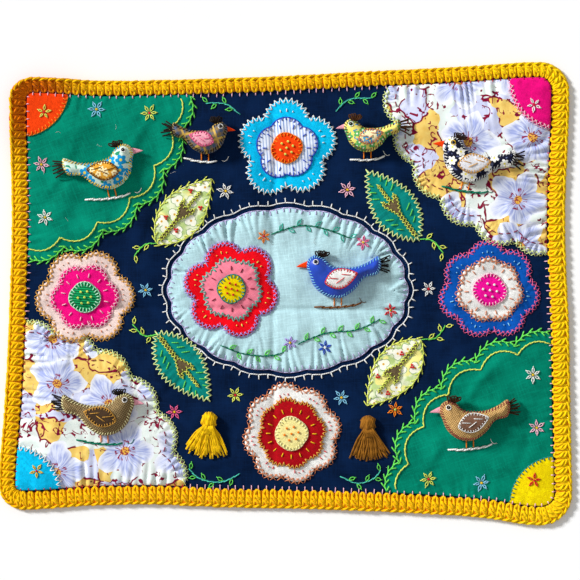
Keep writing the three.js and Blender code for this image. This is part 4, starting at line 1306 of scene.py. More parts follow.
class Threads:
    """Short strands of thread, gathered to become one mesh."""

    def __init__(self, seed):
        self.draw = random.Random(seed)
        self.groups = {}

    def shaky(self, value, much=0.3):
        """The value, off by chance as in hand sewing."""
        return value + self.draw.uniform(-much, much)

    def strand(self, points, thread, radius=0.5, arch=0.35, ends=-0.45, steps=6):
        """One strand through a few points. It rises by arch and dives into the cloth at its ends."""
        points = np.asarray(points, float)
        line = even_points(points, steps) if len(points) == 2 else curve_through(points, steps)
        share = np.linspace(0, 1, steps)
        rise = np.minimum(1, np.sin(math.pi * share) * 2.6)
        lift = ends + (radius * 0.75 + arch - ends) * rise
        tone = self.draw.uniform(0.88, 1.08)
        colour = scaled(rgb(THREADS[thread]), tone)
        self.groups.setdefault(steps, []).append((line, lift, radius, colour))

    def drop_under(self, loops):
        """Leaves out the strands that a cloth sewn on later covers."""
        for steps, group in self.groups.items():
            middles = np.array([row[0][steps // 2] for row in group])
            hidden = np.zeros(len(group), bool)
            for loop in loops:
                hidden |= inside_loop(middles, loop)
            self.groups[steps] = [row for row, under in zip(group, hidden) if not under]

    def take(self, other):
        """Adds another gathering's strands to this one."""
        for steps, group in other.groups.items():
            self.groups.setdefault(steps, []).extend(group)

    def build(self, name, surface, bare=CLOTH_THICK):
        """Lays every strand on the surface and makes one piece of them all."""
        groups = []
        for steps, group in sorted(self.groups.items()):
            lines, lifts, radii, colours = (np.array(column) for column in zip(*group))
            low = surface.height(lines.reshape(-1, 2), bare).reshape(lifts.shape)
            paths = np.concatenate([lines, (low + lifts)[:, :, None]], axis=2)
            groups.append((paths, radii[:, None], colours))
        dress(mesh_object(name, *gather_tubes(groups, THREAD_SIDES)), thread_material)


def running(threads, path, thread, stitch, gap):
    """Plain dashes."""
    places, pitch = path.marks(stitch + gap)
    for s in places:
        threads.strand([path.at(s), path.at(s + stitch / (stitch + gap) * pitch)], thread, 0.45)


def stem(threads, path, thread, stitch=7.0, radius=0.6):
    """Slanted stitches along an open path that overlap like a rope."""
    places, pitch = path.marks(stitch * 0.7)
    lean = radius * 0.75
    for s in places[:-1]:
        end = min(s + pitch * 1.35, path.length)
        line = [path.at(s, -lean), path.at((s + end) / 2), path.at(end, lean)]
        threads.strand(line, thread, threads.shaky(radius, 0.05))


def blanket(threads, path, thread, leg, every, side, radius):
    """A line along the edge with a leg inwards at every stitch."""
    places, pitch = path.marks(every)
    for s in places:
        foot = threads.shaky(s, 0.3)
        top = threads.shaky(leg, 0.5)
        threads.strand([path.at(foot, side), path.at(threads.shaky(foot, 0.35), side + top)], thread, radius)
        edge = [path.at(s - 0.3, side), path.at(s + pitch / 2, side + 0.25), path.at(s + pitch + 0.3, side)]
        threads.strand(edge, thread, radius)


def herringbone(threads, path, thread, wide, every, side, radius):
    """Long crossing slants over the edge."""
    places, pitch = path.marks(every)
    near, far = side - wide / 2, side + wide / 2
    for s in places:
        up = [path.at(s, threads.shaky(near)), path.at(s + pitch * 1.35, threads.shaky(far))]
        threads.strand(up, thread, radius)
        down = [path.at(s + pitch * 0.75, threads.shaky(far)), path.at(s + pitch * 1.85, threads.shaky(near))]
        threads.strand(down, thread, radius, arch=0.6)


def zigzag(threads, path, thread, wide, every, side, radius):
    """Slants to and fro over the edge."""
    places, pitch = path.marks(every)
    near, far = side - wide / 2, side + wide / 2
    for s in places:
        middle = s + pitch / 2
        threads.strand([path.at(s, threads.shaky(near)), path.at(middle, threads.shaky(far))], thread, radius)
        back = [path.at(middle, threads.shaky(far)), path.at(s + pitch, threads.shaky(near))]
        threads.strand(back, thread, radius)


def feather(threads, path, thread, wide, every, side, radius):
    """Arms that branch left and right from a wavering line."""
    places, pitch = path.marks(every)
    for k, s in enumerate(places):
        way = 1 if k % 2 else -1
        foot = path.at(s + pitch * 1.1, side + way * wide * 0.04)
        outer = path.at(threads.shaky(s - pitch * 0.05), side + way * threads.shaky(wide / 2, 0.4))
        bend = path.at(s + pitch * 0.7, side + way * wide * 0.2)
        threads.strand([outer, bend, foot], thread, radius)
        back = path.at(s - pitch * 0.05, side - way * wide * 0.1)
        threads.strand([back, path.at(s + pitch * 0.5, side + way * 0.2), foot], thread, radius, arch=0.55)


def whip(threads, path, thread, wide, every, side, radius):
    """Short slanted stitches over an edge."""
    places, pitch = path.marks(every)
    for s in places:
        line = [path.at(s, side - wide / 2), path.at(s + pitch * 0.6, threads.shaky(side + wide / 2))]
        threads.strand(line, thread, radius, steps=5)


STITCHES = {"blanket": blanket, "herringbone": herringbone, "zigzag": zigzag, "feather": feather}


def loop_stitch(threads, root, tip, thread, wide=0.2, radius=0.42):
    """A looped stitch, held down by a short one at its tip."""
    root, tip = np.asarray(root, float), np.asarray(tip, float)
    along = tip - root
    across = np.array([-along[1], along[0]]) * wide
    middle = root + along * 0.55
    threads.strand([root, middle + across, tip, middle - across, root], thread, radius, steps=11)
    threads.strand([root + along * 0.86, root + along * 1.2], thread, radius, steps=5)


def daisy(threads, x, y, thread, heart, petals=6, reach=6.5):
    """A flower of looped stitches with a knot in the middle."""
    turn = threads.draw.uniform(0, 1)
    for k in range(petals):
        angle = turn + k / petals * 2 * math.pi
        way = np.array([math.cos(angle), math.sin(angle)])
        long = reach * threads.draw.uniform(0.85, 1.05)
        loop_stitch(threads, (x, y) + way * 1.3, (x, y) + way * long, thread)
    knot(threads, x, y, heart)


def sprig(threads, points, stem_thread, leaf_thread, every=8.0, leaf=6.0):
    """A stitched stem with a looped leaf to each side in turn."""
    path = Path(curve_through(points, 60), closed=False)
    stem(threads, path, stem_thread, radius=0.5)
    count = max(2, round(path.length / every))
    for k in range(1, count + 1):
        s = k * path.length / (count + 0.6)
        way = 1 if k % 2 else -1
        forward = path.at(s + 1) - path.at(s - 1)
        tip = path.at(s) + forward * leaf * 0.32 + path.left_at(s) * way * leaf * 0.75
        loop_stitch(threads, path.at(s, way * 0.6), tip, leaf_thread, 0.24)


def knot(threads, x, y, thread, radius=1.0):
    """A French knot: thread wound in a tight ring."""
    turn = threads.draw.uniform(0, 6.28)
    angle = np.linspace(turn, turn + 2.6 * math.pi, 6)
    spots = np.column_stack([x + radius * 0.62 * np.cos(angle), y + radius * 0.62 * np.sin(angle)])
    threads.strand(spots, thread, 0.52, arch=0.75, ends=0.1, steps=10)


def free_edge(loop):
    """The part of a loop that isn't along the border."""
    inside = inside_loop(loop, field_outline(BORDER_GAP + FAN_INSET + 0.5))
    first = int(np.flatnonzero(inside & ~np.roll(inside, 1))[0])
    return np.roll(loop, -first, axis=0)[np.roll(inside, -first)]


def trim(threads, node, loop, cloth):
    """Sews a cloth's edge down."""
    row = TRIMS[cloth]
    path = Path(free_edge(loop), closed=False) if node.startswith("fan") else Path(loop)
    side = -0.2 if row["stitch"] == "blanket" else 0.5
    STITCHES[row["stitch"]](threads, path, row["thread"], row["wide"], row["every"], side, row["radius"])


# Stage, camera and light

def add_camera():
    """A camera straight above, far enough off for an almost flat view. It is in metres."""
    view_width, middle, away = 0.4872, (0.0038, 0.00315), 1.9
    data = bpy.data.cameras.new("camera")
    data.sensor_width = 36
    data.lens = 36 * away / view_width
    data.clip_end = 20
    camera = bpy.data.objects.new("camera", data)
    camera.location = (*middle, away)
    bpy.context.scene.collection.objects.link(camera)
    bpy.context.scene.camera = camera


def add_sun(name, toward, spread, power):
    """Even light from one direction, softened by spreading it over some degrees."""
    data = bpy.data.lights.new(name, "SUN")
    data.angle = math.radians(spread)
    data.energy = power
    light = bpy.data.objects.new(name, data)
    light.location = toward
    light.rotation_euler = (-Vector(toward)).to_track_quat("-Z", "Y").to_euler()
    bpy.context.scene.collection.objects.link(light)


def add_stage():
    """A white floor under soft studio light from the left."""
    half, low = 4000, -0.2
    points = [(-half, -half, low), (half, -half, low), (half, half, low), (-half, half, low)]
    floor = mesh_object("floor", points, [np.array([(0, 1, 2, 3)])])
    paint = Paint("floor_white", roughness=0.9)
    tone = paint.mix(paint.noise(300, 2), (0.9, 0.9, 0.9), (0.94, 0.94, 0.94))
    floor.data.materials.append(paint.finish(tone))

    world = bpy.data.worlds.new("studio")
    world.use_nodes = True
    background = world.node_tree.nodes["Background"]
    background.inputs["Color"].default_value = (1, 1, 1, 1)
    background.inputs["Strength"].default_value = 0.46
    bpy.context.scene.world = world
    add_sun("key", (-1.6, 1.0, 1.05), 12, 4.1)
    bpy.context.scene.view_settings.view_transform = "Standard"


# The crochet

def border_strands(control, radius, steps, seed, tone=1.0, shade=1.0):
    """One strand of every stitch, as paths, radii and colours."""
    count = STITCH_COUNT
    draw = np.random.default_rng(seed)
    template = curve_through(np.array(control) * STRAND_SCALE, steps) / STRAND_SCALE
    number = np.arange(count)[:, None] + draw.normal(0, UNEVEN["round"], (count, 1))
    wide = 1 + draw.normal(0, UNEVEN["wide"], (count, 1))
    round_at = number + template[None, :, 0] * wide
    out_at = template[None, :, 1] + draw.normal(0, UNEVEN["out"], (count, 1))
    spots = on_border(round_at, out_at)
    high = template[None, :, 2] + draw.normal(0, UNEVEN["high"], (count, 1)) + curl_at(spots, out_at)
    high = np.maximum(high, radius + GROUND["above"])
    paths = np.concatenate([spots, high[:, :, None]], axis=2)
    middle = on_border(np.arange(count), np.full(count, 0.5))
    colours = yarn_colour(middle, shade) * (tone * draw.uniform(0.93, 1.05, (count, 1)))
    return paths, radius, np.clip(colours, 0, 1)


def curl_at(spots, across):
    """How far the border's outer side stands up where one corner curls."""
    away = np.hypot(spots[..., 0] - CURL["x"], (spots[..., 1] - CURL["y"]) * 0.8)
    share = smooth_step(-away, -CURL["gone"], -CURL["full"])
    return CURL["rise"] * share * np.clip(np.asarray(across) - CURL["from"], 0, None)


def yarn_colour(spots, shade=1.0):
    """Golden yellow, more orange on the left and deeper orange in the hollow of the curled corner: painted
    shade.
    """
    x, y = spots.T
    # broad is the share of painted shade on the left side; deep is the share of painted shade in the curled
    # corner, whose colour is brown
    broad = smooth_step(-x, -214, -110)[:, None]
    away = np.hypot(x - CURL["x"], (y - CURL["y"]) * 0.8)
    deep = shade * smooth_step(-away, -0.75 * CURL["gone"], -0.7 * CURL["full"])[:, None]
    base, left_shade_colour, brown = (np.array(rgb(code)) for code in YARN_COLOURS)
    colour = base * (1 - broad) + left_shade_colour * broad
    return colour * (1 - deep) + brown * deep


def add_crochet():
    """The border: posts, their crossing strands, the chain along the edge and the dense core below."""
    # The high slant and the outer chain are made lighter as painted highlight, the low back chain darker as
    # painted shade, and the outer chain takes little of the corner's painted shade.
    posts = [
        border_strands(LOOP_STRAND, YARN_RADIUS, 20, 1),
        border_strands(HIGH_SLANT, YARN_RADIUS, 8, 2, 1.04),
        border_strands(LOW_SLANT, YARN_RADIUS, 8, 3),
    ]
    chain = [
        border_strands(CHAIN_FRONT, 1.02, 10, 4, 1.05, 0.15),
        border_strands(CHAIN_BACK, 1.0, 8, 5, 0.85),
    ]
    for name, groups in (("crochet_posts", posts), ("crochet_chain", chain)):
        piece = mesh_object(name, *gather_tubes(groups, YARN_SIDES))
        dress(piece, yarn_material, "crochet_border")
    add_crochet_core()


def add_crochet_core():
    """The dense yarn below the posts, which shows between them, darkened as painted shade."""
    steps = STITCH_COUNT * CORE["fineness"]
    rows = len(CORE_PROFILE)
    number = np.arange(steps) / CORE["fineness"]
    post = np.cos(2 * math.pi * number)
    points = np.empty((steps, rows, 3))
    for row, (across, high) in enumerate(CORE_PROFILE):
        points[:, row, :2] = on_border(number, np.full(steps, across))
        wave = CORE["wave"] * post if high > 2 else 0
        points[:, row, 2] = high + wave + curl_at(points[:, row, :2], across)
    index = np.arange(steps * rows).reshape(steps, rows)
    after, above = np.roll(index, -1, axis=0), np.roll(index, -1, axis=1)
    both = np.roll(after, -1, axis=1)
    quads = np.stack([index, above, both, after], axis=-1).reshape(-1, 4)
    # The core takes the yarn's colour darkened by shade: painted shade between the posts.
    tone = np.repeat(yarn_colour(points[:, 0, :2]) * CORE["shade"], rows, axis=0)
    uv = np.repeat([(0.0, 0.0)], quads.size, axis=0)
    piece = mesh_object("crochet_core", points.reshape(-1, 3), [quads], uv, tone)
    dress(piece, yarn_material, "crochet_border")


# The stuffed birds

def bird_sheets():
    """The two cut cloths of each bird, sewn together at the rim and hardly filled yet."""
    loop = smooth_loop(BIRD_OUTLINE, 100)
    made = []
    for bird in BIRDS:
        outline = loop * bird["size"]
        points, triangles = cut_plan(outline, BIRD["step"], rings=(BIRD["step"] * 0.8,))
        distance, _ = from_edge(points, outline)
        rim = np.zeros(len(points), bool)
        rim[np.unique(rim_edges(triangles))] = True
        made.append((points, triangles, np.where(rim, 0, distance), rim))
    return made


def joined_sheets(points, triangles, rim, top, low):
    """A closed bag of two sheets that share their rim."""
    second = np.arange(len(points))
    free = np.flatnonzero(~rim)
    second[free] = len(points) + np.arange(len(free))
    solid = np.vstack([np.column_stack([points, top]), np.column_stack([points, low])[free]])
    return solid, np.vstack([triangles, second[triangles][:, ::-1]])


def inflate(bags):
    """Fills all the bags with pressed-in air by cloth simulation, and gives back their points."""
    starts = np.cumsum([0] + [len(points) for points, _ in bags])
    points = np.vstack([points for points, _ in bags]) * SIM_SCALE
    faces = np.vstack([faces + start for (_, faces), start in zip(bags, starts)])
    mesh = bpy.data.meshes.new("bags")
    mesh.from_pydata(points.tolist(), [], faces.tolist())
    bag = bpy.data.objects.new("bags", mesh)
    bpy.context.scene.collection.objects.link(bag)
    cloth = bag.modifiers.new("fill", "CLOTH")
    for key, value in SIM_CLOTH.items():
        setattr(cloth.settings, key, value)
    cloth.settings.effector_weights.gravity = 0
    cloth.collision_settings.use_collision = False
    cloth.point_cache.frame_start = 1
    cloth.point_cache.frame_end = SIM_FRAMES
    scene = bpy.context.scene
    for number in range(1, SIM_FRAMES + 1):
        scene.frame_set(number)
    shaped = bag.evaluated_get(bpy.context.evaluated_depsgraph_get()).to_mesh()
    result = np.empty(len(points) * 3)
    shaped.vertices.foreach_get("co", result)
    result = result.reshape(-1, 3) / SIM_SCALE
    bpy.data.objects.remove(bag)
    scene.frame_set(1)
    return [result[first:last] for first, last in zip(starts, starts[1:])]


def resting_form(points, plan, rim):
    """A filled bag brought to the bird's size and pressed flat where it rests."""
    spots = points.copy()
    spots[:, 2] -= spots[rim, 2].mean()
    for axis in (0, 1):
        wanted, had = plan[:, axis], spots[:, axis]
        spread = np.ptp(wanted) / np.ptp(had)
        spots[:, axis] = wanted.min() + (had - had.min()) * spread
    high = BIRD["top"] - BIRD["seam_high"]
    spots[:, 2] *= high / spots[:, 2].max()
    below = spots[:, 2] < 0
    seam = BIRD["seam_high"]
    spots[below, 2] = -seam * np.tanh(-spots[below, 2] / seam * BIRD["pressed"])
    spots[:, 2] += seam
    return spots


def bird_bodies():
    """The filled body of each bird, in its own drawing's place."""
    sheets = bird_sheets()
    bags = []
    for (points, triangles, distance, rim), bird in zip(sheets, BIRDS):
        half = BAG["high"] * np.sqrt(np.clip(distance, 0, BAG["reach"]))
        wobble = BIRD["wobble"] * soft_noise(points[:, 0], points[:, 1], 5, SEEDS["bags"] + int(bird["x"]))
        height = np.where(rim, 0, half + wobble)
        bags.append(joined_sheets(points, triangles, rim, height, -height))
    shapes = inflate(bags)
    bodies = []
    for shape, (_, faces), (points, _, _, rim) in zip(shapes, bags, sheets):
        bodies.append((resting_form(shape, points, np.flatnonzero(rim)), faces))
    return bodies


def bird_low(bird):
    """The height at which a bird rests."""
    return lie_at(bird) + CLOTH_THICK + PIECE_GAP + PATCH_THICK + PIECE_GAP + BIRD["gap"]


def add_bird(bird, body, seed):
    """A bird: stuffed body, wing, beak, eye, crest, tail and stitches."""
    shape, faces = body
    low = bird_low(bird)
    spots = placed(shape[:, :2], **{**spot_of(bird), "size": 1.0})
    solid = np.column_stack([spots, shape[:, 2] + low])
    if bird["flip"]:
        faces = faces[:, ::-1]
    material, _, slot = cloths[bird["cloth"]]
    piece = mesh_object(bird["name"] + "_body", solid, [faces])
    smooth = piece.modifiers.new("smooth", "SUBSURF")
    smooth.levels = smooth.render_levels = 1
    dress(piece, material, bird["name"])

    own = Pile()
    own.add(solid, faces)
    threads = Threads(seed)
    seam = placed(smooth_loop(BIRD_OUTLINE, 120), **spot_of(bird))
    if bird["flip"]:
        seam = seam[::-1]
    whip(threads, Path(seam), bird["thread"], wide=2.2, every=2.5, side=1.7, radius=0.36)
    add_wing(bird, own, threads)
    add_beak(bird, low)
    add_eye(bird, own, threads)
    threads.build(bird["name"] + "_stitches", own, bare=low + BIRD["seam_high"])
    add_plumes(bird, low, seed)


def add_wing(bird, own, threads):
    """A padded felt flap that follows the body."""
    material, _, slot = cloths[bird["wing"]]
    wing = placed(leaf_loop(WING["length"], WING["width"]), WING["x"], WING["y"], WING["turn"])
    loop = placed(wing, **spot_of(bird))
    if bird["flip"]:
        loop = loop[::-1]
    loop = loop_by_step(loop, 1.0)
    points, triangles = cut_plan(loop, WING["step"], rings=(0.5,))
    base = settled(own.height(points, 6.0), triangles, 6)
    distance, _ = from_edge(points, loop)
    inner = 1 - np.clip(distance / WING["roll"], 0, 1)
    pad = WING["pad"] * (1 - np.exp(-distance / WING["rise"]))
    top = base + WING["thick"] * np.sqrt(1 - inner ** 2) + pad + WING["gap"]
    sheet = close_sheet(points, triangles, top, base - WING["gap"])
    piece = mesh_object(bird["name"] + "_wing_felt", *sheet)
    dress(piece, material, bird["name"] + "_wing")
    own.add(np.column_stack([points, top]), triangles)
    blanket(threads, Path(loop), bird["wing_thread"], leg=2.0, every=2.6, side=0.0, radius=0.34)
    for share, reach, side in WING_VEINS:
        vein = [(share * WING["length"] + 5, 0), (share * WING["length"] - reach * 6, side)]
        line = placed(placed(vein, WING["x"], WING["y"], WING["turn"]), **spot_of(bird))
        threads.strand(line, bird["wing_thread"], 0.34, steps=5)


def ring_faces(steps, sides, turned):
    """The faces between even rings of points, with a cap at each end."""
    number = np.arange(steps * sides).reshape(steps, sides)
    after = np.roll(number, -1, axis=1)
    quads = np.stack([number[:-1], after[:-1], after[1:], number[1:]], axis=-1).reshape(-1, 4)
    faces = [quads, number[:1, ::-1], number[-1:]]
    return [part[:, ::-1] for part in faces] if turned else faces


def add_beak(bird, low):
    """A folded felt point at the front of the head."""
    steps, sides = 9, 12
    share = np.linspace(0, 1, steps)[:, None]
    turn = np.arange(sides)[None, :] / sides * 2 * math.pi
    taper = (1 - share) ** 0.8
    x = BEAK["base"] + (BEAK["tip"] - BEAK["base"]) * share + 0 * turn
    y = BEAK["y"] - BEAK["droop"] * share ** 2 + BEAK["half_width"] * taper * np.cos(turn)
    crease = 1 - BEAK["crease"] * np.exp(-(np.cos(turn) / BEAK["crease_width"]) ** 2) * (share < 0.98)
    middle = (BEAK["low"] + BEAK["high"]) / 2
    z = middle + (BEAK["high"] - BEAK["low"]) / 2 * (taper * 0.9 + 0.1) * np.sin(turn) * crease
    spots = placed(np.column_stack([x.ravel(), y.ravel()]), **spot_of(bird))
    points = np.column_stack([spots, z.ravel() + low])
    piece = mesh_object(bird["name"] + "_beak_felt", points, ring_faces(steps, sides, not bird["flip"]))
    material, _, slot = cloths["orange" if bird["cloth"] in ("ink", "cobalt", "plaid") else "rose"]
    dress(piece, material, bird["name"] + "_beak")


def add_eye(bird, own, threads):
    """A black bead sewn on, with a ring of pale thread round it."""
    x, y = placed([(EYE["x"], EYE["y"])], **spot_of(bird))[0]
    z = float(own.height([(x, y)], 8.0)[0])
    steps, sides = 9, 16
    rise = np.linspace(0.02, math.pi - 0.02, steps)[:, None]
    turn = np.arange(sides)[None, :] / sides * 2 * math.pi
    radius = EYE["radius"]
    high = z + EYE["stands"] + radius * EYE["flat"] * np.cos(rise) + 0 * turn
    points = np.stack([x + radius * np.sin(rise) * np.cos(turn), y + radius * np.sin(rise) * np.sin(turn),
                       high], axis=-1).reshape(-1, 3)
    dress(mesh_object(bird["name"] + "_eye", points, ring_faces(steps, sides, True)), eye_material)
    away = EYE["ring"]
    ring = [(x + away * math.cos(a), y + away * math.sin(a)) for a in np.linspace(0, 2 * math.pi, 9)]
    threads.strand(ring, "white" if bird["cloth"] != "ink" else "gold", 0.36, ends=0.1, steps=14)


def plume(bird, low, foot, turn, shape, high):
    """One strand of yarn that stands out from its foot on a bird."""
    foot = placed([foot], **spot_of(bird))[0]
    line = placed(placed(shape, turn=turn), turn=bird["turn"], flip=bird["flip"]) + foot
    return curve_through(np.column_stack([line, np.array(high) + low]), 12)


def add_plumes(bird, low, seed):
    """Loops of dark yarn at the crest and strands at the tail."""
    draw = random.Random(seed + 3)
    strands = []
    for k in range(CREST["count"]):
        turn = CREST["turn"] + k * CREST["fan"] + draw.uniform(-CREST["chance"], CREST["chance"])
        reach = draw.uniform(*CREST["reach"])
        loop = [(-0.8, 0), (reach * 0.6, 1.2), (reach, 0.2), (reach * 0.55, -1.0), (-0.8, -0.3)]
        high = np.array(CREST["high"]) * CREST["lowered"]
        foot = (CREST["x"] - k * CREST["gap"], CREST["y"])
        strands.append(plume(bird, low, foot, turn, loop, high))
    for k in range(TAIL["count"]):
        turn = TAIL["turn"] + k * TAIL["fan"] + draw.uniform(-TAIL["chance"], TAIL["chance"])
        reach = draw.uniform(*TAIL["reach"])
        line = [(-3, 0), (reach * 0.4, draw.uniform(-0.6, 0.6)), (reach, draw.uniform(-1.4, 1.4))]
        foot = (TAIL["x"], TAIL["y"] + (3 - k) * TAIL["gap"])
        strands.append(plume(bird, low, foot, turn, line, TAIL["high"]))
    colours = np.array([scaled(rgb(bird["plume"]), draw.uniform(0.75, 1.25)) for _ in strands])
    groups = [(np.array(strands), PLUME_RADIUS, colours)]
    dress(mesh_object(bird["name"] + "_plumes", *gather_tubes(groups, YARN_SIDES)), tassel_material)


# The tassels

def add_tassel(tassel, seed):
    """A tassel of cut yarn with a wound head, sewn down by the head."""
    draw = random.Random(seed)
    low = lie_at(tassel) + CLOTH_THICK + PIECE_GAP + 0.15
    shade = rgb(tassel["colour"])
    strands, colours = [], []
    for k in range(TASSEL["strands"]):
        layer = k % 3
        turn = tassel["turn"] + draw.uniform(-0.5, 0.5) * TASSEL["spread"] * (1.0 - 0.12 * layer)
        reach = TASSEL["reach"] * draw.uniform(0.86, 1.06) * (1.0 - 0.05 * layer)
        bow = draw.uniform(-TASSEL["bow"], TASSEL["bow"])
        aside = draw.uniform(-TASSEL["aside"], TASSEL["aside"])
        line = [(1, aside * 0.5), (7, aside * 0.45), (reach * 0.55, aside * 0.4 + bow), (reach, aside * 0.2)]
        line = placed(line, tassel["x"], tassel["y"], turn)
        high = low + np.array([2.2, 3.6, 1.9, 0.8]) + layer * np.array([0.4, 1.1, 0.9, 0.7])
        strands.append(curve_through(np.column_stack([line, high]), 14))
        colours.append(scaled(shade, draw.uniform(0.72, 1.15)))
    groups = [(np.array(strands), TASSEL["radius"], np.array(colours)), wound_head(tassel, low, shade, draw)]
    piece = mesh_object(tassel["name"] + "_yarn", *gather_tubes(groups, YARN_SIDES))
    dress(piece, tassel_material, tassel["name"])


def wound_head(tassel, low, shade, draw):
    """Turns of yarn over the head, and the tie below it."""
    turns, colours = [], []
    head = TASSEL["head"]
    middle = (WINDING["turns"] - 1) / 2
    for k in range(WINDING["turns"]):
        lean = (k - middle) / middle
        side = head * 0.86 * lean
        half = math.sqrt(max(head ** 2 - side ** 2, 1.0))
        angle = np.linspace(0.05, math.pi - 0.05, 14)
        x = -half * np.cos(angle) + draw.uniform(-0.4, 0.4)
        y = side + 0.5 * np.sin(angle * 2 + k)
        z = low + 0.7 + (TASSEL["top"] - 1.4) * np.sin(angle) * (1 - 0.55 * lean ** 2)
        spots = placed(np.column_stack([x, y]), **spot_of(tassel))
        turns.append(np.column_stack([spots, z]))
        colours.append(scaled(shade, draw.uniform(0.82, 1.12)))
    for k in range(WINDING["ties"]):
        angle = np.linspace(-0.2, math.pi + 0.2, 14)
        x = WINDING["tie_at"] + k * WINDING["tie_gap"] + 0 * angle
        y = WINDING["tie_half"] * np.cos(angle)
        z = low + 0.6 + WINDING["tie_high"] * np.sin(angle).clip(0)
        spots = placed(np.column_stack([x, y]), **spot_of(tassel))
        turns.append(np.column_stack([spots, z]))
        colours.append(scaled(shade, draw.uniform(0.6, 0.78)))
    return np.array(turns), WINDING["radius"], np.array(colours)


# Making it all

def flower_loops():
    """Each flower layer's node, outline and cloth, the lowest layers first."""
    rows = []
    for part in ("petals", "inner", "centre"):
        for flower in FLOWERS:
            radius, depth, cloth = flower[part]
            lobes = CENTRE_LOBES if part == "centre" else flower["lobes"]
            rows.append((f'{flower["name"]}_{part}', lobed_loop(flower, radius, lobes, depth), cloth))
    return rows


def add_cloths():
    """Lays the ground and every patch, and gives back each patch's outline."""
    fans = [(fan["name"], fan_loop(fan), fan["cloth"]) for fan in FANS]
    handles = [(fan["name"] + "_handle", handle_loop(fan), fan["handle"]) for fan in FANS]
    leaf, rib = leaf_loop(**LEAF_SIZE), rib_loop()
    leaves = [(row["name"], placed(leaf, **spot_of(row)), row["cloth"]) for row in LEAVES]
    ribs = [(row["name"] + "_rib", placed(rib, **spot_of(row)), "olive") for row in LEAVES]
    patches = [*fans, ("medallion", medallion_loop(), "pale_blue"), *leaves, *handles, *ribs, *flower_loops()]
    lay_ground([loop_by_step(loop, 3) for _, loop, _ in patches])
    for number, (node, loop, cloth) in enumerate(patches):
        lay_patch(node, loop, cloth, SEEDS["patches"] + 7 * number)
    return {node: (loop, cloth) for node, loop, cloth in patches}


def sew_edges(outlines):
    """Every patch's edge stitches, one piece for each group of patches."""
    groups = {name: Threads(0) for name in ("fan", "medallion", "leaf", "flower")}
    nodes = list(outlines)
    for number, node in enumerate(nodes):
        loop, cloth = outlines[node]
        own = Threads(SEEDS["edges"] + number)
        trim(own, node, loop, cloth)
        own.drop_under([outlines[later][0] for later in nodes[number + 1:]])
        groups[node.split("_")[0]].take(own)
    for name, threads in groups.items():
        threads.build(name + "_edge_stitches", pile)


def loops_of(outlines, *starts):
    """The outlines of the patches whose names start so."""
    return [loop for node, (loop, _) in outlines.items() if node.startswith(starts)]


def sew_hem(outlines):
    """Joins the crochet to the cloth with a short leg at every stitch."""
    threads = Threads(SEEDS["hem"])
    path = Path(field_outline(0.3))
    places, _ = path.marks(path.length / STITCH_COUNT)
    spots = np.array([path.at(s, 2.5) for s in places])
    on = np.array(["navy"] * len(spots), dtype=object)
    for fan in FANS:
        on[inside_loop(spots, outlines[fan["name"]][0])] = fan["cloth"]
    for s, cloth in zip(places, on):
        thread, reach = HEM_LEGS[cloth]
        foot = threads.shaky(s, 0.5)
        threads.strand([path.at(foot, -1.4), path.at(threads.shaky(foot, 0.5), threads.shaky(reach, 0.4))],
                       thread, 0.45)
    threads.drop_under(loops_of(outlines, "flower"))
    threads.build("hem_stitches", pile)


def sew_perches():
    """A twig below each bird and the bird's two legs."""
    threads = Threads(SEEDS["perches"])
    for bird in BIRDS:
        way = -1 if bird["flip"] else 1
        low, half = (PERCH[key] * bird["size"] / PERCH["for_size"] for key in ("low", "half"))
        arc = [(x * half, -low - PERCH["sag"] * (1 - x * x)) for x in (-1, -0.4, 0.4, 1)]
        twig = placed(arc, bird["x"], bird["y"], bird["turn"])
        stem(threads, Path(curve_through(twig, 40), closed=False), bird["perch"], 9.0, 0.78)
        end = twig[-1]
        tail = [end, end + (way * 2.4, -0.6), end + (way * 4.4, 1.0), end + (way * 5.6, 3.4)]
        threads.strand(tail, bird["perch"], 0.3, arch=0.1, ends=0.1, steps=9)
        for x in (-1.5, 4.5):
            leg = placed([(way * x, -12 * bird["size"]), (way * (x + 0.8), -low - 1.5)],
                         bird["x"], bird["y"], bird["turn"])
            threads.strand(leg, "orange", 0.5)
    threads.build("perch_stitches", pile)


def sew_sprigs(outlines):
    """Stems, leaves and daisies on the ground and the medallion, and a ring round the medallion."""
    groups = {name: Threads(SEEDS[name]) for name in ("navy", "medallion")}
    echo = Path(medallion_loop(MEDALLION["echo"]))
    blanket(groups["navy"], echo, "white", leg=-3.6, every=7.6, side=0.0, radius=0.5)
    groups["navy"].drop_under(loops_of(outlines, "leaf"))
    for row in SPRIGS:
        sprig(groups[row["on"]], row["through"], row["stem"], row["leaf"])
    for row in DAISIES:
        daisy(groups[row["on"]], row["x"], row["y"], row["petals"], row["heart"], reach=row["reach"])
    for name, threads in groups.items():
        threads.build(name + "_embroidery", pile)


def sew_fans(outlines):
    """A line that echoes each fan's scallops, daisies on the emerald ones and one on each handle."""
    threads = Threads(SEEDS["fans"])
    for fan in FANS:
        def spot(share, radius):
            angle = math.radians(fan["opens"] + 90 * share)
            return fan["x"] + radius * math.cos(angle), fan["y"] + radius * math.sin(angle)
        loop = arc_loop(fan, FAN_SIZE["radius"] - FAN_SIZE["echo"], True, 181)
        echo = Path(free_edge(loop), closed=False)
        if fan["cloth"] == "emerald":
            stem(threads, echo, "lemon", 6.0, 0.5)
            for row in FAN_DAISIES:
                daisy(threads, *spot(row["share"], row["radius"]), row["petals"], row["heart"])
        else:
            running(threads, echo, "maroon", 4.0, 2.6)
        daisy(threads, *spot(0.5, FAN_SIZE["daisy"]), fan["thread"], "scarlet", 5, 5.5)
    threads.drop_under(loops_of(outlines, "flower", "leaf"))
    threads.build("fan_embroidery", pile)


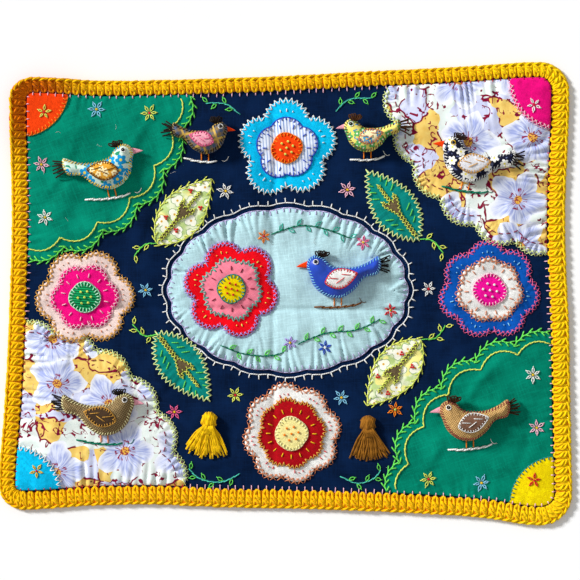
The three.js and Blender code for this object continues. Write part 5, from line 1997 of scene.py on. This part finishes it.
def sew_flowers():
    """Rays on the petals, seed stitches round the middle and knots in it."""
    threads = Threads(SEEDS["flowers"])
    for flower in FLOWERS:
        outer, inner, centre = (flower[part][0] for part in ("petals", "inner", "centre"))

        def spot(angle, radius):
            return placed([(radius * math.cos(angle), radius * math.sin(angle))], flower["x"], flower["y"],
                          flower["turn"])[0]
        lobes = flower["lobes"]
        for lobe in range(lobes):
            middle = lobe / lobes * 2 * math.pi
            for step, reach in RAYS:
                angle = middle + step * 0.42 / lobes * 2
                tip = outer * threads.shaky(reach, 0.02) - 2
                threads.strand([spot(angle, inner + 4.5), spot(angle, tip)], flower["rays"], 0.45)
            for step in (-0.5, 0.5):
                angle = middle + step / lobes * math.pi
                threads.strand([spot(angle, centre + 3.6), spot(angle, centre + 7.2)], flower["seeds"], 0.45)
        knot(threads, *spot(0, 0), flower["knots"])
        for k in range(6):
            knot(threads, *spot(k / 6 * 2 * math.pi, centre * 0.42), flower["knots"])
    threads.build("flower_embroidery", pile)


def add_lint():
    """Pale hairs that cling to the cloth."""
    threads = Threads(SEEDS["lint"])
    for _ in range(LINT["count"]):
        x = threads.shaky(0, LINT["half_width"])
        y = threads.shaky(0, LINT["half_height"])
        long = threads.draw.uniform(*LINT["long"])
        bent = [(0, 0), (long * 0.5, threads.shaky(0, long * 0.3)), (long, 0)]
        hair = placed(bent, x, y, threads.shaky(0, 180))
        threads.strand(hair, "white", LINT["radius"], arch=0.05, ends=0.1)
    threads.build("lint", pile)


def sew_leaves():
    """Berries of red knots on the printed leaves, and veins on the teal ones."""
    threads = Threads(SEEDS["leaves"])
    length, width = LEAF_SIZE["length"], LEAF_SIZE["width"]
    for leaf in LEAVES:
        if leaf["cloth"] == "teal":
            for along in VEINS:
                half = leaf_half(along + 0.5, width)
                for way in (-1, 1):
                    vein = [(along * length, way * half * 0.36), ((along + 0.05) * length, way * half * 0.7)]
                    threads.strand(placed(vein, **spot_of(leaf)), "lime", 0.45)
            continue
        for along, across in BERRIES:
            for dx, dy in ((0, 0), (2.1, 0.6), (0.8, 2.1)):
                berry = placed([(along * length + dx, across * width + dy)], **spot_of(leaf))[0]
                knot(threads, *berry, "scarlet", 0.9)
    threads.build("leaf_embroidery", pile)


def main():
    """Lays the cloths, sews them, and adds the birds and the tassels."""
    add_camera()
    add_stage()
    outlines = add_cloths()
    add_crochet()
    sew_edges(outlines)
    sew_hem(outlines)
    sew_perches()
    sew_sprigs(outlines)
    sew_fans(outlines)
    sew_flowers()
    sew_leaves()
    add_lint()
    for number, (bird, body) in enumerate(zip(BIRDS, bird_bodies())):
        add_bird(bird, body, SEEDS["birds"] + number)
    for number, tassel in enumerate(TASSELS):
        add_tassel(tassel, SEEDS["tassels"] + number)


main()
